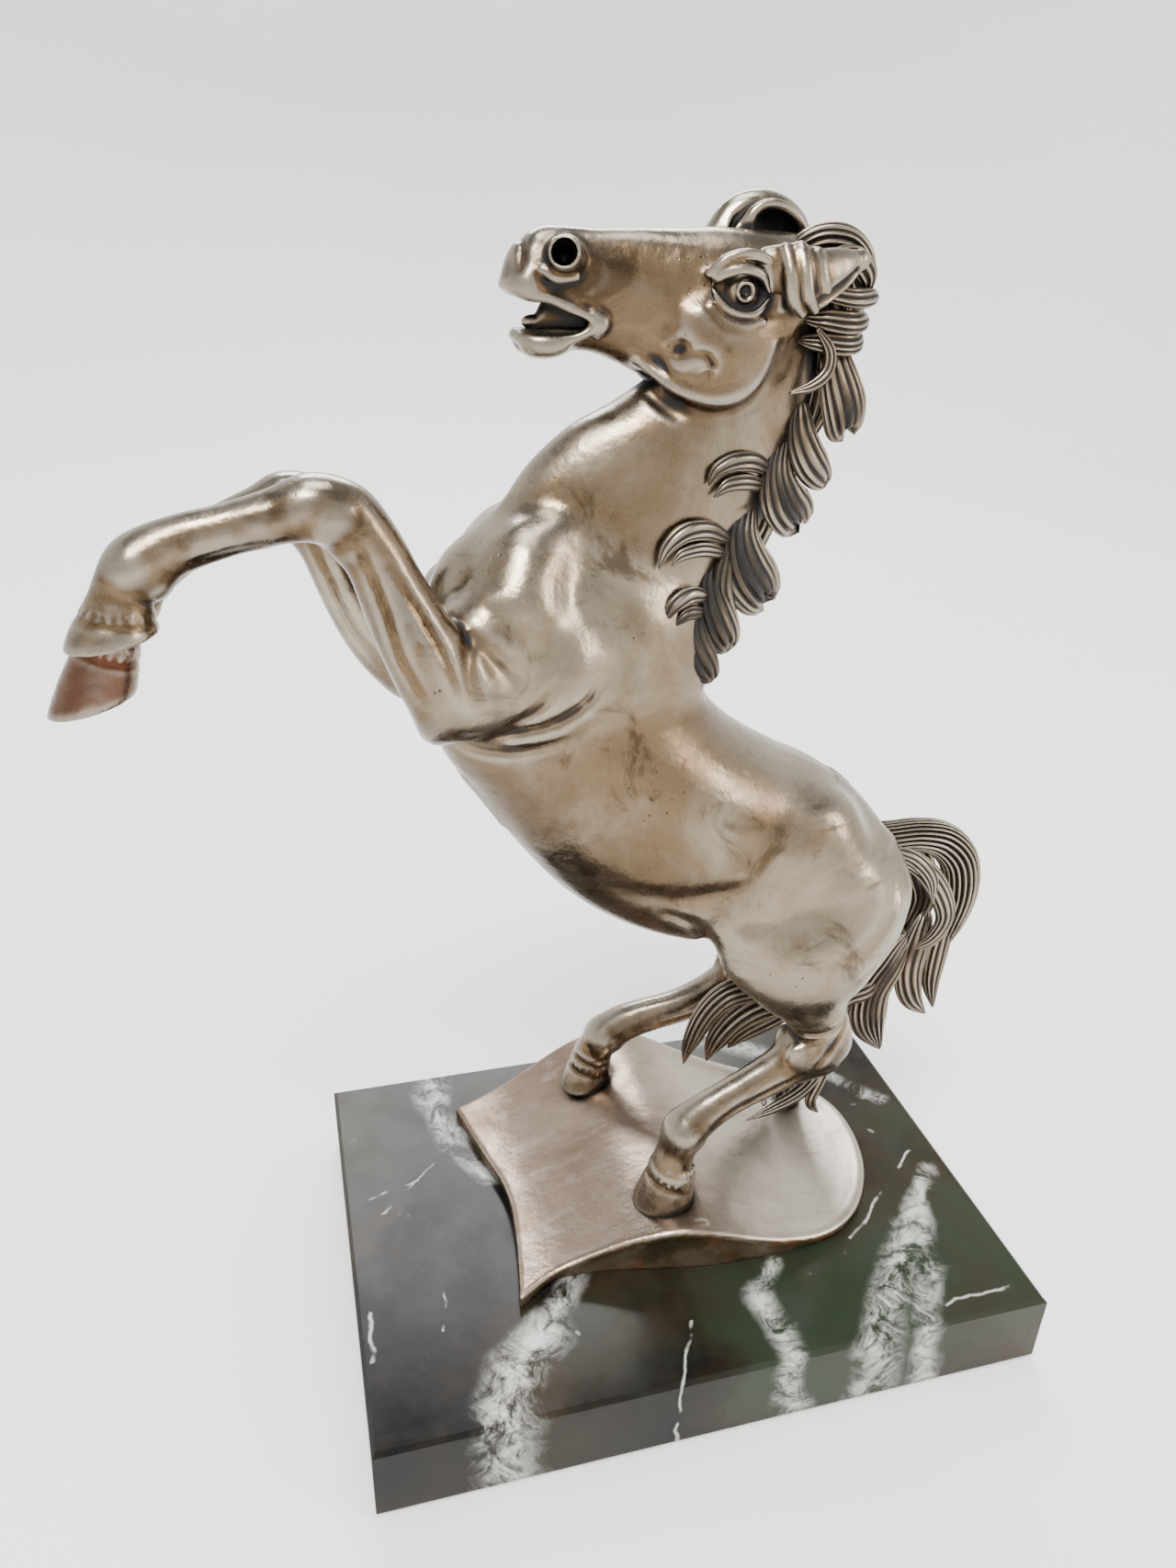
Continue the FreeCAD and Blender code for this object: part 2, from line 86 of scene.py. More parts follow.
# ------------------------------------------------------------------ clay
class Clay:
    """Signed distance on a regular grid, shaped with soft unions and cuts."""
    FAR = 8.0

    def __init__(self, low, high, step):
        self.step = step
        first = np.floor(np.array(low) / step)
        last = np.ceil(np.array(high) / step)
        self.axes = [(step * np.arange(a, b + 1)).astype(np.float32)
                     for a, b in zip(first, last)]
        self.dist = np.full([len(axis) for axis in self.axes], self.FAR, np.float32)

    def window(self, low, high):
        spans = tuple(slice(int(np.searchsorted(axis, lo)), int(np.searchsorted(axis, hi)))
                      for axis, lo, hi in zip(self.axes, low, high))
        x, y, z = (axis[span] for axis, span in zip(self.axes, spans))
        return spans, x[:, None, None], y[None, :, None], z[None, None, :]

    def join(self, spans, other, soft, cut=False):
        """Soft union of the clay with another distance, or the clay less it."""
        base = self.dist[spans]
        if not base.size:
            return
        if cut:
            gap = np.maximum(soft - np.abs(base + other), 0.0) / soft
            self.dist[spans] = np.maximum(base, -other) + gap * gap * (soft / 4)
        else:
            gap = np.maximum(soft - np.abs(base - other), 0.0) / soft
            self.dist[spans] = np.minimum(base, other) - gap * gap * (soft / 4)

    def limb(self, stations, soft, caps=(3.0, 3.0), cut=False):
        """Oval sweep.  Stations are (x, z, y, half depth, half width, lean in degrees,
        egg): the section's depth runs along `lean` in the XZ plane, and a positive egg
        makes it wider at that end."""
        rows = smooth_path([list(s) + [0.0] * (7 - len(s)) for s in stations], 6)
        lean = np.radians(rows[:, 5])
        normal = np.stack([np.cos(lean), np.sin(lean)], 1)
        ahead = np.stack([-np.sin(lean), np.cos(lean)], 1)
        place = rows[:, :2]
        if np.dot(ahead[0], place[1] - place[0]) < 0:
            ahead = -ahead
        reach = rows[:, 3].max() + 10
        wide = rows[:, 4].max() + 10
        low = (place[:, 0].min() - reach, rows[:, 2].min() - wide, place[:, 1].min() - reach)
        high = (place[:, 0].max() + reach, rows[:, 2].max() + wide, place[:, 1].max() + reach)
        spans, x, y, z = self.window(low, high)
        gx, gz = np.meshgrid(x.ravel(), z.ravel(), indexing="ij")
        best = np.full(gx.shape, 3.0)
        depth2, slope2 = np.full(gx.shape, 9.0), np.full(gx.shape, 1.0)
        half, mid = np.ones(gx.shape), np.zeros(gx.shape)

        def keep(where, u, w, deep, cap, side, centre, egg):
            q2 = (u / deep) ** 2 + (w / cap) ** 2
            where = where & (q2 < best ** 2)
            best[where] = np.sqrt(q2[where])
            depth2[where] = q2[where]
            slope2[where] = ((u / deep ** 2) ** 2 + (w / cap ** 2) ** 2)[where]
            half[where] = (side * (1 + egg * np.clip(u / deep, -1, 1)))[where]
            mid[where] = np.broadcast_to(centre, gx.shape)[where]

        for i in range(len(rows) - 1):
            a = (gx - place[i, 0]) * ahead[i, 0] + (gz - place[i, 1]) * ahead[i, 1]
            b = ((gx - place[i + 1, 0]) * ahead[i + 1, 0]
                 + (gz - place[i + 1, 1]) * ahead[i + 1, 1])
            inside = (a >= 0) & (b <= 0)
            t = np.where(inside, a / np.maximum(a - b, 1e-6), 0.0)
            nx = normal[i, 0] * (1 - t) + normal[i + 1, 0] * t
            nz = normal[i, 1] * (1 - t) + normal[i + 1, 1] * t
            mix = [rows[i, c] * (1 - t) + rows[i + 1, c] * t for c in range(7)]
            u = ((gx - mix[0]) * nx + (gz - mix[1]) * nz) / np.hypot(nx, nz)
            keep(inside, u, 0.0, mix[3], 1.0, mix[4], mix[2], mix[6])
        for i, cap, sign in ((0, caps[0], -1.0), (len(rows) - 1, caps[1], 1.0)):
            w = sign * ((gx - place[i, 0]) * ahead[i, 0] + (gz - place[i, 1]) * ahead[i, 1])
            u = (gx - place[i, 0]) * normal[i, 0] + (gz - place[i, 1]) * normal[i, 1]
            keep(w > 0, u, w, rows[i, 3], cap, rows[i, 4], rows[i, 2], rows[i, 6])

        v = (y - mid[:, None, :].astype(np.float32))
        side = half[:, None, :].astype(np.float32)
        v2 = (v / side) ** 2
        k0 = np.sqrt(depth2[:, None, :].astype(np.float32) + v2)
        k1 = np.sqrt(slope2[:, None, :].astype(np.float32) + v2 / side ** 2)
        other = np.clip(k0 * (k0 - 1) / np.maximum(k1, 1e-4), -self.FAR * 4, self.FAR)
        self.join(spans, other, soft, cut)

    def lump(self, centre, radii, lean=0.0, soft=4.0, cut=False, pair=False):
        """Ellipsoid at (x, z, y) with radii along its lean, across it and along Y."""
        reach = max(radii) + soft + 4
        cos_l, sin_l = math.cos(math.radians(lean)), math.sin(math.radians(lean))
        for mid in ([centre[2], 2 * MIDDLE_Y - centre[2]] if pair else [centre[2]]):
            point = (centre[0], mid, centre[1])
            spans, x, y, z = self.window([c - reach for c in point], [c + reach for c in point])
            u = (x - point[0]) * cos_l + (z - point[2]) * sin_l
            w = (z - point[2]) * cos_l - (x - point[0]) * sin_l
            v = y - mid
            k0 = np.sqrt((u / radii[0]) ** 2 + (w / radii[1]) ** 2 + (v / radii[2]) ** 2)
            k1 = np.sqrt((u / radii[0] ** 2) ** 2 + (w / radii[1] ** 2) ** 2
                         + (v / radii[2] ** 2) ** 2)
            other = np.clip(k0 * (k0 - 1) / np.maximum(k1, 1e-4), -self.FAR * 4, self.FAR)
            self.join(spans, other.astype(np.float32), soft, cut)

    def rope(self, points, radii, soft=1.0, cut=False, pair=False):
        """Round cord through 3-D points (x, y, z) whose radius varies from point to point."""
        rows = smooth_path([list(p) + [r] for p, r in zip(points, radii)], 5)
        for flip in ((False, True) if pair else (False,)):
            path = rows.copy()
            if flip:
                path[:, 1] = 2 * MIDDLE_Y - path[:, 1]
            reach = path[:, 3].max() + soft + 2 * self.step
            spans, x, y, z = self.window(path[:, :3].min(0) - reach, path[:, :3].max(0) + reach)
            other = np.full(self.dist[spans].shape, self.FAR, np.float32)
            if not other.size:
                continue
            x, y, z = x.ravel(), y.ravel(), z.ravel()
            for a, b in zip(path[:-1], path[1:]):
                low, high = np.minimum(a, b)[:3] - reach, np.maximum(a, b)[:3] + reach
                cell = tuple(slice(int(np.searchsorted(axis, lo)), int(np.searchsorted(axis, hi)))
                             for axis, lo, hi in zip((x, y, z), low, high))
                px = x[cell[0]][:, None, None]
                py = y[cell[1]][None, :, None]
                pz = z[cell[2]][None, None, :]
                run = b[:3] - a[:3]
                length2 = max(float(run @ run), 1e-6)
                t = ((px - a[0]) * run[0] + (py - a[1]) * run[1] + (pz - a[2]) * run[2]) / length2
                t = np.clip(t, 0, 1)
                gap = np.sqrt((px - a[0] - t * run[0]) ** 2 + (py - a[1] - t * run[1]) ** 2
                              + (pz - a[2] - t * run[2]) ** 2)
                other[cell] = np.minimum(other[cell], gap - (a[3] + (b[3] - a[3]) * t))
            self.join(spans, other, soft, cut)

    def press(self, points, width, depth, sides=(-1, 1)):
        """Presses a groove (or raises a ridge, with a negative depth) along a line (x, z),
        on the left side (-1), the right side (1) or both.  It fades towards its ends."""
        line = smooth_path(points, 6)
        reach = 3 * width
        low = (line[:, 0].min() - reach, -1e3, line[:, 1].min() - reach)
        high = (line[:, 0].max() + reach, 1e3, line[:, 1].max() + reach)
        spans, x, y, z = self.window(low, high)
        gx, gz = np.meshgrid(x.ravel(), z.ravel(), indexing="ij")
        gap2, along = np.full(gx.shape, 1e6), np.zeros(gx.shape)
        for i, (a, b) in enumerate(zip(line[:-1], line[1:])):
            run = b - a
            t = ((gx - a[0]) * run[0] + (gz - a[1]) * run[1]) / max(float(run @ run), 1e-6)
            t = np.clip(t, 0, 1)
            new = (gx - a[0] - t * run[0]) ** 2 + (gz - a[1] - t * run[1]) ** 2
            closer = new < gap2
            gap2[closer] = new[closer]
            along[closer] = ((i + t) / (len(line) - 1))[closer]
        fade = np.sin(np.pi * np.clip(along, 0.02, 0.98)) ** 0.6
        dent = (depth * fade * np.exp(-gap2 / width ** 2))[:, None, :]
        for side in sides:
            weight = np.clip((y - MIDDLE_Y) * side / 2.0, 0, 1)
            self.dist[spans] += (dent * weight).astype(np.float32)

    def slice_off(self, point, normal, low, high):
        """Cuts away the side of a plane that its normal points to, inside a box."""
        spans, x, y, z = self.window(low, high)
        normal = np.array(normal, float) / np.linalg.norm(normal)
        plane = ((x - point[0]) * normal[0] + (y - point[1]) * normal[1]
                 + (z - point[2]) * normal[2])
        self.join(spans, (-plane).astype(np.float32), 0.8, cut=True)

    def surface(self):
        """Closed quad mesh of the clay: points, faces with four corners each."""
        grid = openvdb.FloatGrid()
        grid.background = self.FAR
        grid.copyFromArray(self.dist.astype(np.float32))
        points, _, quads = grid.convertToPolygons(0.0, 0.0)
        points = points * self.step + np.array([axis[0] for axis in self.axes])
        return relax(points, quads.astype(np.int64)), quads.astype(np.int64)


def neighbour_mean(quads, count):
    """A function that gives the mean of each point's neighbours along the edges."""
    first = quads.ravel()
    second = np.roll(quads, -1, axis=1).ravel()
    times = np.bincount(first, minlength=count) + np.bincount(second, minlength=count)
    times = np.maximum(times, 1)[:, None]

    def mean(points):
        total = np.stack([np.bincount(first, points[second, c], count)
                          + np.bincount(second, points[first, c], count)
                          for c in range(3)], 1)
        return total / times
    return mean


def relax(points, quads, rounds=3):
    """Takes the grid's stair-steps out without shrinking the form (Taubin smoothing)."""
    mean = neighbour_mean(quads, len(points))
    for _ in range(rounds):
        for weight in (0.55, -0.57):
            points = points + weight * (mean(points) - points)
    return points


def corner_normals(points, quads):
    """Smooth normal at each point."""
    a, b, c, d = (points[quads[:, i]] for i in range(4))
    face = np.cross(c - a, d - b)
    normals = np.zeros_like(points)
    for i in range(4):
        for axis in range(3):
            normals[:, axis] += np.bincount(quads[:, i], face[:, axis], len(points))
    return normals / np.maximum(np.linalg.norm(normals, axis=1), 1e-9)[:, None]


def hollows(points, quads, normals, step):
    """How far each point lies below the smoothed surface round it."""
    mean, soft = neighbour_mean(quads, len(points)), points
    for _ in range(max(2, int(round((HOLLOW_REACH / step) ** 2)))):
        soft = mean(soft)
    return np.einsum("ij,ij->i", soft - points, normals)


class Surroundings:
    """Coarse record of where all the metal is, which tells how enclosed a point is."""
    STEP = 1.5

    def __init__(self, low, high):
        self.low = np.array(low, float)
        self.solid = np.zeros(np.ceil((np.array(high) - low) / self.STEP).astype(int) + 1,
                              np.float32)

    def add(self, clay):
        spots = []
        for axis, first, size in zip(clay.axes, self.low, self.solid.shape):
            place = first + self.STEP * np.arange(size)
            index = np.round((place - axis[0]) / clay.step).astype(int)
            known = (index >= 0) & (index < len(axis))
            spots.append((np.nonzero(known)[0], index[known]))
        here = np.ix_(*[spot[0] for spot in spots])
        there = np.ix_(*[spot[1] for spot in spots])
        self.solid[here] = np.maximum(self.solid[here], (clay.dist[there] < 0))

    def add_rod(self, rows, flat):
        """A tress of hair, as balls along its spine."""
        reach = int(math.ceil(rows[:, 3].max() / self.STEP))
        near = np.stack(np.meshgrid(*[np.arange(-reach, reach + 1)] * 3, indexing="ij"), -1)
        for x, y, z, wide in rows:
            middle = np.round((np.array([x, y, z]) - self.low) / self.STEP).astype(int)
            ball = near[np.linalg.norm(near * self.STEP, axis=-1) < wide * flat] + middle
            ball = np.clip(ball, 0, np.array(self.solid.shape) - 1)
            self.solid[tuple(ball.T)] = 1

    def blur(self, rounds=3, half=1):
        for _ in range(rounds):
            for axis in range(3):
                rolled = [np.roll(self.solid, shift, axis) for shift in range(-half, half + 1)]
                self.solid = sum(rolled) / len(rolled)

    def enclosed(self, points, normals, ahead=3.2):
        """0 in the open, towards 1 in a deep recess."""
        index = (points + normals * ahead - self.low) / self.STEP
        index = np.clip(index, 0, np.array(self.solid.shape) - 1.001)
        base = index.astype(int)
        part = index - base
        total = np.zeros(len(points))
        for corner in range(8):
            step = np.array([(corner >> k) & 1 for k in range(3)])
            weight = np.prod(np.where(step, part, 1 - part), axis=1)
            total += weight * self.solid[tuple((base + step).T)]
        return total


# ------------------------------------------------------------------ making pieces
def new_piece(name, points, faces, normals=None, layers=()):
    """A mesh object from millimetre points; `layers` are values at its points."""
    mesh = bpy.data.meshes.new(name)
    mesh.from_pydata((np.asarray(points) * MM).tolist(), [],
                     [list(map(int, face)) for face in faces])
    mesh.update()
    mesh.polygons.foreach_set("use_smooth", [True] * len(mesh.polygons))
    for label in layers:
        layer = mesh.attributes.new(label, "FLOAT", "POINT")
        layer.data.foreach_set("value", np.asarray(layers[label], np.float32))
    if normals is not None:
        mesh.normals_split_custom_set_from_vertices(normals.tolist())
    piece = bpy.data.objects.new(name, mesh)
    bpy.context.scene.collection.objects.link(piece)
    return piece


def open_edges(quads):
    """Edges that only one face has, in the order in which the faces come."""
    edges = {}
    for a, b in zip(quads.ravel().tolist(), np.roll(quads, -1, axis=1).ravel().tolist()):
        if (b, a) in edges:
            del edges[(b, a)]
        else:
            edges[(a, b)] = True
    return edges


def close_holes(quads, points):
    """Fans that close the open edges left where one casting is parted from the next."""
    after = {}
    for a, b in open_edges(quads):
        after.setdefault(b, []).append(a)
    fans, centres = [], []
    while after:
        start = next(iter(after))
        loop, here = [start], start
        while True:
            nexts = after.get(here)
            if not nexts:
                break
            step = nexts.pop()
            if not nexts:
                del after[here]
            if step == start:
                break
            loop.append(step)
            here = step
        if len(loop) > 2:
            hub = len(points) + len(centres)
            centres.append(points[loop].mean(0))
            fans += [[loop[i], loop[(i + 1) % len(loop)], hub] for i in range(len(loop))]
    return fans, centres


def level_seam(faces, points, height):
    """Brings the open edge nearest to a height exactly to it, where two castings meet."""
    rim = np.array(sorted({corner for edge in open_edges(faces) for corner in edge}), int)
    rim = rim[np.abs(points[rim, 2] - height) < SEAM_REACH]
    points[rim, 2] = height


def castings(clay, around, label_of, names, suffix, seam=None):
    """Closed mesh pieces from one clay, parted face by face.  `label_of` gives each face's
    piece from its middle, or -1 for a face that is left out."""
    points, quads = clay.surface()
    label = label_of(points[quads].mean(1))
    normals = corner_normals(points, quads)
    hollow = hollows(points, quads, normals, clay.step)
    depth = around.enclosed(points, normals)
    pieces = {}
    for number, name in enumerate(names):
        own = quads[label == number]
        used, local = np.unique(own, return_inverse=True)
        own = local.reshape(own.shape)
        spots = points[used].copy()
        if seam is not None:
            level_seam(own, spots, seam)
        fans, centres = close_holes(own, spots)
        faces = own.tolist() + fans
        more = len(centres)
        if more:
            spots = np.vstack([spots, centres])
        pieces[name] = new_piece(
            name + suffix, spots, faces,
            np.vstack([normals[used], np.tile([[0.0, 0.0, 1.0]], (more, 1))]),
            {"hollow": np.append(hollow[used], np.zeros(more)),
             "enclosed": np.append(depth[used], np.ones(more))})
    return pieces


# ------------------------------------------------------------------ the horse's body
# Stations are (x, z, y, half depth, half width, lean, egg); see Clay.limb.
NECK_STATIONS = [
    (-35, 213, 2, 34, 21, -14), (-32, 222, 2, 35, 19.5, -22), (-26, 231, 2, 32.5, 17, -27),
    (-21.5, 240, 2, 31, 14.5, -24), (-16, 249.5, 2, 30, 13, -21), (-8.5, 260.5, 2, 27.5, 12, -16),
    (-1.5, 270.5, 2, 24, 11, -6), (2.5, 280, 2, 21.5, 10.5, 8), (5, 288, 2, 18, 10, 20)]
HEAD_SEAM_Z = 268.0


def trunk(clay):
    """Barrel, from the rump up to the withers, and the neck."""
    clay.limb([
        (48, 118, 2, 12, 14, 15), (44, 126, 2, 22, 19, 16), (37, 136, 2, 31, 23.5, 20),
        (25, 145, 2, 35.5, 26, 27), (13.5, 152.5, 2, 38.5, 26.5, 26), (1.5, 161.5, 2, 39, 26.5, 24),
        (-11, 172, 2, 37.5, 26.5, 18), (-24, 185, 2, 35, 26, 13), (-33, 197, 2, 35, 25, 8),
        (-35.5, 209, 2, 37, 23.5, -6), (-32, 222, 2, 36, 20.5, -20)], 4.0, caps=(8, 20))
    neck(clay)


def neck(clay):
    """Shared by the neck's casting and the head's, so that the two meet."""
    clay.limb(NECK_STATIONS, 8.0, caps=(12, 4))


def shoulders(clay):
    clay.lump((-52, 225, -13), (17, 12, 10.5), 70, soft=6, pair=True)      # triceps
    clay.lump((-42, 212, -17), (15, 10, 7.5), 60, soft=6, pair=True)       # upper arm
    clay.lump((-60, 216, -6), (9, 15, 8), 0, soft=5, pair=True)            # breast
    clay.lump((-46, 240, -8), (11, 9, 8), 30, soft=6, pair=True)           # point of shoulder
    clay.lump((-61, 226, -15), (7, 6, 6), 60, soft=7, pair=True)           # armpit's fill
    clay.lump((-61, 217, -27.4), (6.5, 4, 2.6), 70, soft=5, cut=True, pair=True)  # elbow's cup


def haunches(clay):
    clay.lump((40, 139, -17), (17, 22, 11), 10, soft=8, pair=True)         # thigh
    clay.lump((51, 138, -14), (9, 17, 10), 10, soft=6, pair=True)          # buttock
    clay.lump((15, 141, -17), (10, 13, 9), -25, soft=6, pair=True)         # stifle
    clay.lump((28, 160, -13), (17, 12, 10), 25, soft=8, pair=True)         # hip
    clay.lump((0, 147, -28), (12, 6, 4), -15, soft=8, cut=True, pair=True)  # flank


FORELEG_LEFT = [
    (-46, 204, -10, 12, 9, 30), (-62, 209, -18, 13, 9, 40), (-69.5, 218, -21.5, 10.5, 8, 44),
    (-75, 228, -22, 9.2, 7.2, 44), (-79, 237, -21.5, 7.9, 6.6, 38), (-83, 247, -20.5, 7.0, 6.2, 34),
    (-89, 254.5, -20, 7.6, 6.6, 48), (-96.5, 256.2, -20, 7.4, 6.2, 68), (-103, 254.6, -20, 6.4, 5.4, 78),
    (-112, 252.2, -20, 5.7, 4.7, 88), (-121, 249.8, -20, 6, 4.9, 98), (-128.6, 246.4, -20, 6.5, 6.1, 122),
    (-132.8, 242, -20, 5.8, 5.5, 150), (-134.2, 238.6, -20, 6.0, 5.8, 168)]
FORELEG_RIGHT = [
    (-46, 203, 14, 12, 9, 30), (-64, 204.5, 21.5, 12.5, 9, 46), (-75, 211, 21.5, 10.2, 8, 50),
    (-82.5, 220.5, 20, 8.7, 7, 48), (-87.5, 231, 19, 7.5, 6.5, 38), (-91.5, 241, 18, 7.1, 6.2, 36),
    (-97, 248, 18, 7.8, 6.7, 50), (-104, 248.5, 18, 7.2, 6.2, 66), (-110, 246, 17.6, 6.2, 5.3, 78),
    (-118, 242, 17, 5.8, 4.8, 92), (-127, 237, 16.5, 6.1, 5.1, 106), (-134.5, 231, 16, 6.6, 6.2, 124),
    (-139.3, 224.5, 15.5, 6.0, 5.6, 142), (-142, 220, 15, 6.8, 6.4, 152)]
HINDLEG_LEFT = [
    (34, 150, -10, 26, 10, 12), (34, 142, -15, 29.5, 13, 6), (32.5, 133, -18, 28, 14, 3),
    (30, 121, -20, 22, 12, -6), (31.5, 111.5, -20, 15, 9.4, -8), (37.5, 101, -20, 12.4, 7.2, -20),
    (38, 91.5, -20, 10.6, 6.6, -44), (29, 86.6, -20, 7.4, 5.5, -56), (20, 82, -20, 6.4, 4.9, -54),
    (12, 78, -20, 6.1, 4.8, -52), (5.5, 74, -20, 6.5, 5.3, -46), (-0.5, 68.6, -20, 6.8, 6.4, -36),
    (-3.0, 61, -20.3, 6.0, 5.8, -26), (-4, 54.6, -20.6, 7, 6.6, -20)]
HINDLEG_RIGHT = [
    (34, 150, 14, 26, 10, 12), (33, 142, 19, 29, 13, 6), (31, 133, 22, 27.5, 13.5, 3),
    (29, 121, 24, 21.5, 11.5, -6), (31, 110, 25, 14, 8.8, -10), (37, 99, 26, 12, 7, -28),
    (36, 89, 26, 10, 6.4, -52), (26, 82, 26.6, 7.2, 5.4, -66), (14, 76.4, 27.6, 6.1, 4.9, -74),
    (4, 73, 29.4, 6.2, 5, -70), (-4, 69.8, 31, 6.6, 5.6, -58), (-10.5, 65, 32, 6.6, 6.2, -42),
    (-12.8, 60.5, 32.6, 6, 5.8, -26), (-14, 57.5, 33, 6.6, 6.3, -18)]


def hoof(clay, top, sole, y, top_size, sole_size, lean, tilt):
    """Hoof from the coronet at `top` to the middle of its sole (x, z): a flared wall whose
    depth runs along `lean`, over a flat sole that rises by `tilt` degrees towards +X."""
    (x0, z0), (x1, z1) = top, sole
    swing = (tilt - lean + 90) % 180 - 90                  # the shorter way round
    stations = []
    for t in (0.0, 0.15, 0.6, 1.0, 1.5):
        grow = 1 - (1 - min(t, 1.0)) ** 1.4
        deep = top_size + (sole_size - top_size) * grow
        stations.append((x0 + (x1 - x0) * t, z0 + (z1 - z0) * t, y, deep, deep * 0.94,
                         lean + swing * min(t, 1.0) * 0.5))
    clay.limb(stations, 0.8, caps=(1.0, 1.0))
    reach = 2.2 * sole_size
    down = (math.sin(math.radians(tilt)), 0, -math.cos(math.radians(tilt)))
    clay.slice_off((x1, y, z1), down, (x1 - reach, y - reach, z1 - reach),
                   (x1 + reach, y + reach, z1 + reach))


def hair_fringe(clay, top, sole, y, top_size, sole_size, lean):
    """Short pointed tufts at the coronet, over a dark groove round the top of the hoof."""
    (x0, z0), (x1, z1) = top, sole
    length = math.hypot(x1 - x0, z1 - z0)
    down = np.array([(x1 - x0) / length, 0, (z1 - z0) / length])
    ahead = np.array([math.cos(math.radians(lean)), 0, math.sin(math.radians(lean))])
    centre = np.array([x0, y, z0])

    def wall(drop):
        """Half depth of the hoof at a distance below its coronet."""
        part = min(drop / length, 1.0)
        return top_size + (sole_size - top_size) * (1 - (1 - part) ** 1.4)

    band = 3.3
    ring = [centre + down * band + (ahead * math.cos(t) * 1.02 + np.array([0, 0.97 * math.sin(t), 0]))
            * (wall(band) + 0.62) for t in np.linspace(0, 2 * math.pi, 41)]
    clay.rope([tuple(p) for p in ring], [0.85] * 41, soft=0.7, cut=True)
    tufts = 40
    for i in range(tufts):
        turn = 2 * math.pi * (i + 0.2 * math.sin(7 * i)) / tufts
        out = ahead * math.cos(turn) + np.array([0, math.sin(turn) * 0.96, 0])
        drop = 1.7 + 0.5 * math.sin(3.1 * i)
        points = [centre + out * (top_size * 0.86) - down * 2.4, centre + out * (top_size * 0.96),
                  centre + out * wall(drop) + down * drop]
        clay.rope([tuple(p) for p in points], (0.3, 0.42, 0.16), soft=0.5)


def leg_bones(clay):
    """Knees, hocks, fetlocks and tendons."""
    for x, z, y in ((-94, 257, -20), (-97.5, 250.6, 18)):
        clay.lump((x, z, y), (6.5, 4.6, 5.4), -10, soft=4)
        clay.lump((x + 7, z - 8.5, y), (3.2, 3.0, 4.4), 45, soft=3)
        clay.lump((x + 3, z - 3, y - 4.6), (4.2, 3.4, 2.2), 40, soft=2.5)
        clay.lump((x + 3, z - 3, y + 4.6), (4.2, 3.4, 2.2), 40, soft=2.5)
    for x, z, y in ((-130, 244.5, -20), (-136.8, 228, 16)):
        clay.lump((x + 3.4, z - 3.0, y), (2.6, 2.3, 3.6), 45, soft=4)
        clay.lump((x - 1.0, z + 1.5, y), (5.0, 4.2, 5.9), 45, soft=3)
    for x, z, y in ((45, 95, -20), (44, 92, 26)):
        clay.lump((x, z, y), (4.2, 6.5, 4.0), 25, soft=3)
        clay.lump((x - 12, z - 1, y - 4.2), (5.5, 4.5, 2.4), -30, soft=3)
        clay.lump((x - 12, z - 1, y + 4.2), (5.5, 4.5, 2.4), -30, soft=3)
    for x, z, y in ((-1, 67.5, -20.2), (-11, 64, 32)):
        clay.lump((x + 4.2, z - 2.6, y), (2.8, 2.6, 3.2), 0, soft=2.5)
        clay.lump((x - 0.5, z + 1, y), (4.4, 5.0, 6.0), 0, soft=3)


BODY_FOLDS = [
    # points (x, z), width, depth
    ([(-30, 158), (-20, 153), (-8, 150.4), (4, 152), (14, 156), (23, 158.5)], 3.6, 0.9),
    ([(-14, 147), (-3, 141), (3, 133), (5, 126)], 2.2, 1.3),
    ([(-68, 206), (-62, 203.5), (-54, 205), (-48, 209), (-44, 214)], 1.7, 1.2),
    ([(-71, 202.5), (-64, 200), (-55, 202), (-45, 205), (-36, 210), (-32, 215)], 1.8, 1.3),
    ([(-68, 199), (-61, 196.5), (-53, 197), (-46, 199), (-39, 201)], 1.7, 0.9),
    ([(-66, 234), (-60, 232.5), (-52, 228), (-47, 221)], 3.2, 0.9),
    ([(-44, 242), (-38, 234), (-33, 224), (-33, 216), (-38, 210)], 4.2, 0.6),
    ([(-64, 229), (-64, 221), (-62, 212)], 2.0, 1.2),
    ([(49, 158), (54, 150), (51, 141), (43, 133), (33, 129)], 2.8, 1.0),
    ([(57, 152), (59, 141), (54, 130), (40, 121)], 2.2, 0.8),
    ([(3, 145), (6, 136), (10, 126)], 3.2, 1.0),
    ([(12, 118), (16, 112), (24, 107), (33, 107)], 1.6, 0.8),
    ([(23, 104), (31, 103), (40, 104), (47, 108)], 1.4, 0.8),
    ([(24, 99), (31, 99), (38, 101)], 1.2, 0.6),
    ([(-50, 252), (-40, 244), (-30, 236), (-24, 226)], 4.0, 0.8),
    ([(-12, 164), (2, 160), (16, 166)], 5.0, 0.4),
]
TENDON_GROOVES = [
    ([(-104, 250), (-112, 248.3), (-121, 246.2)], 1.2, 0.8, -1),
    ([(-74, 215), (-79, 226), (-82, 238), (-86, 249)], 1.2, 0.8, -1),
    ([(-66, 215), (-70, 226), (-75, 236), (-80, 245)], 1.1, 0.6, -1),
    ([(32, 87), (22, 81.5), (12, 76.5), (6, 72.5)], 1.1, 0.9, -1),
    ([(45, 106), (41, 98), (36, 90)], 1.2, 0.8, -1),
    ([(-111, 243.5), (-119, 239.5), (-128, 234.5)], 1.2, 0.8, 1),
    ([(-78, 206), (-86, 219), (-91, 232), (-95, 243)], 1.2, 0.8, 1),
    ([(28, 80.5), (16, 75), (4, 71.5)], 1.1, 0.9, 1),
]
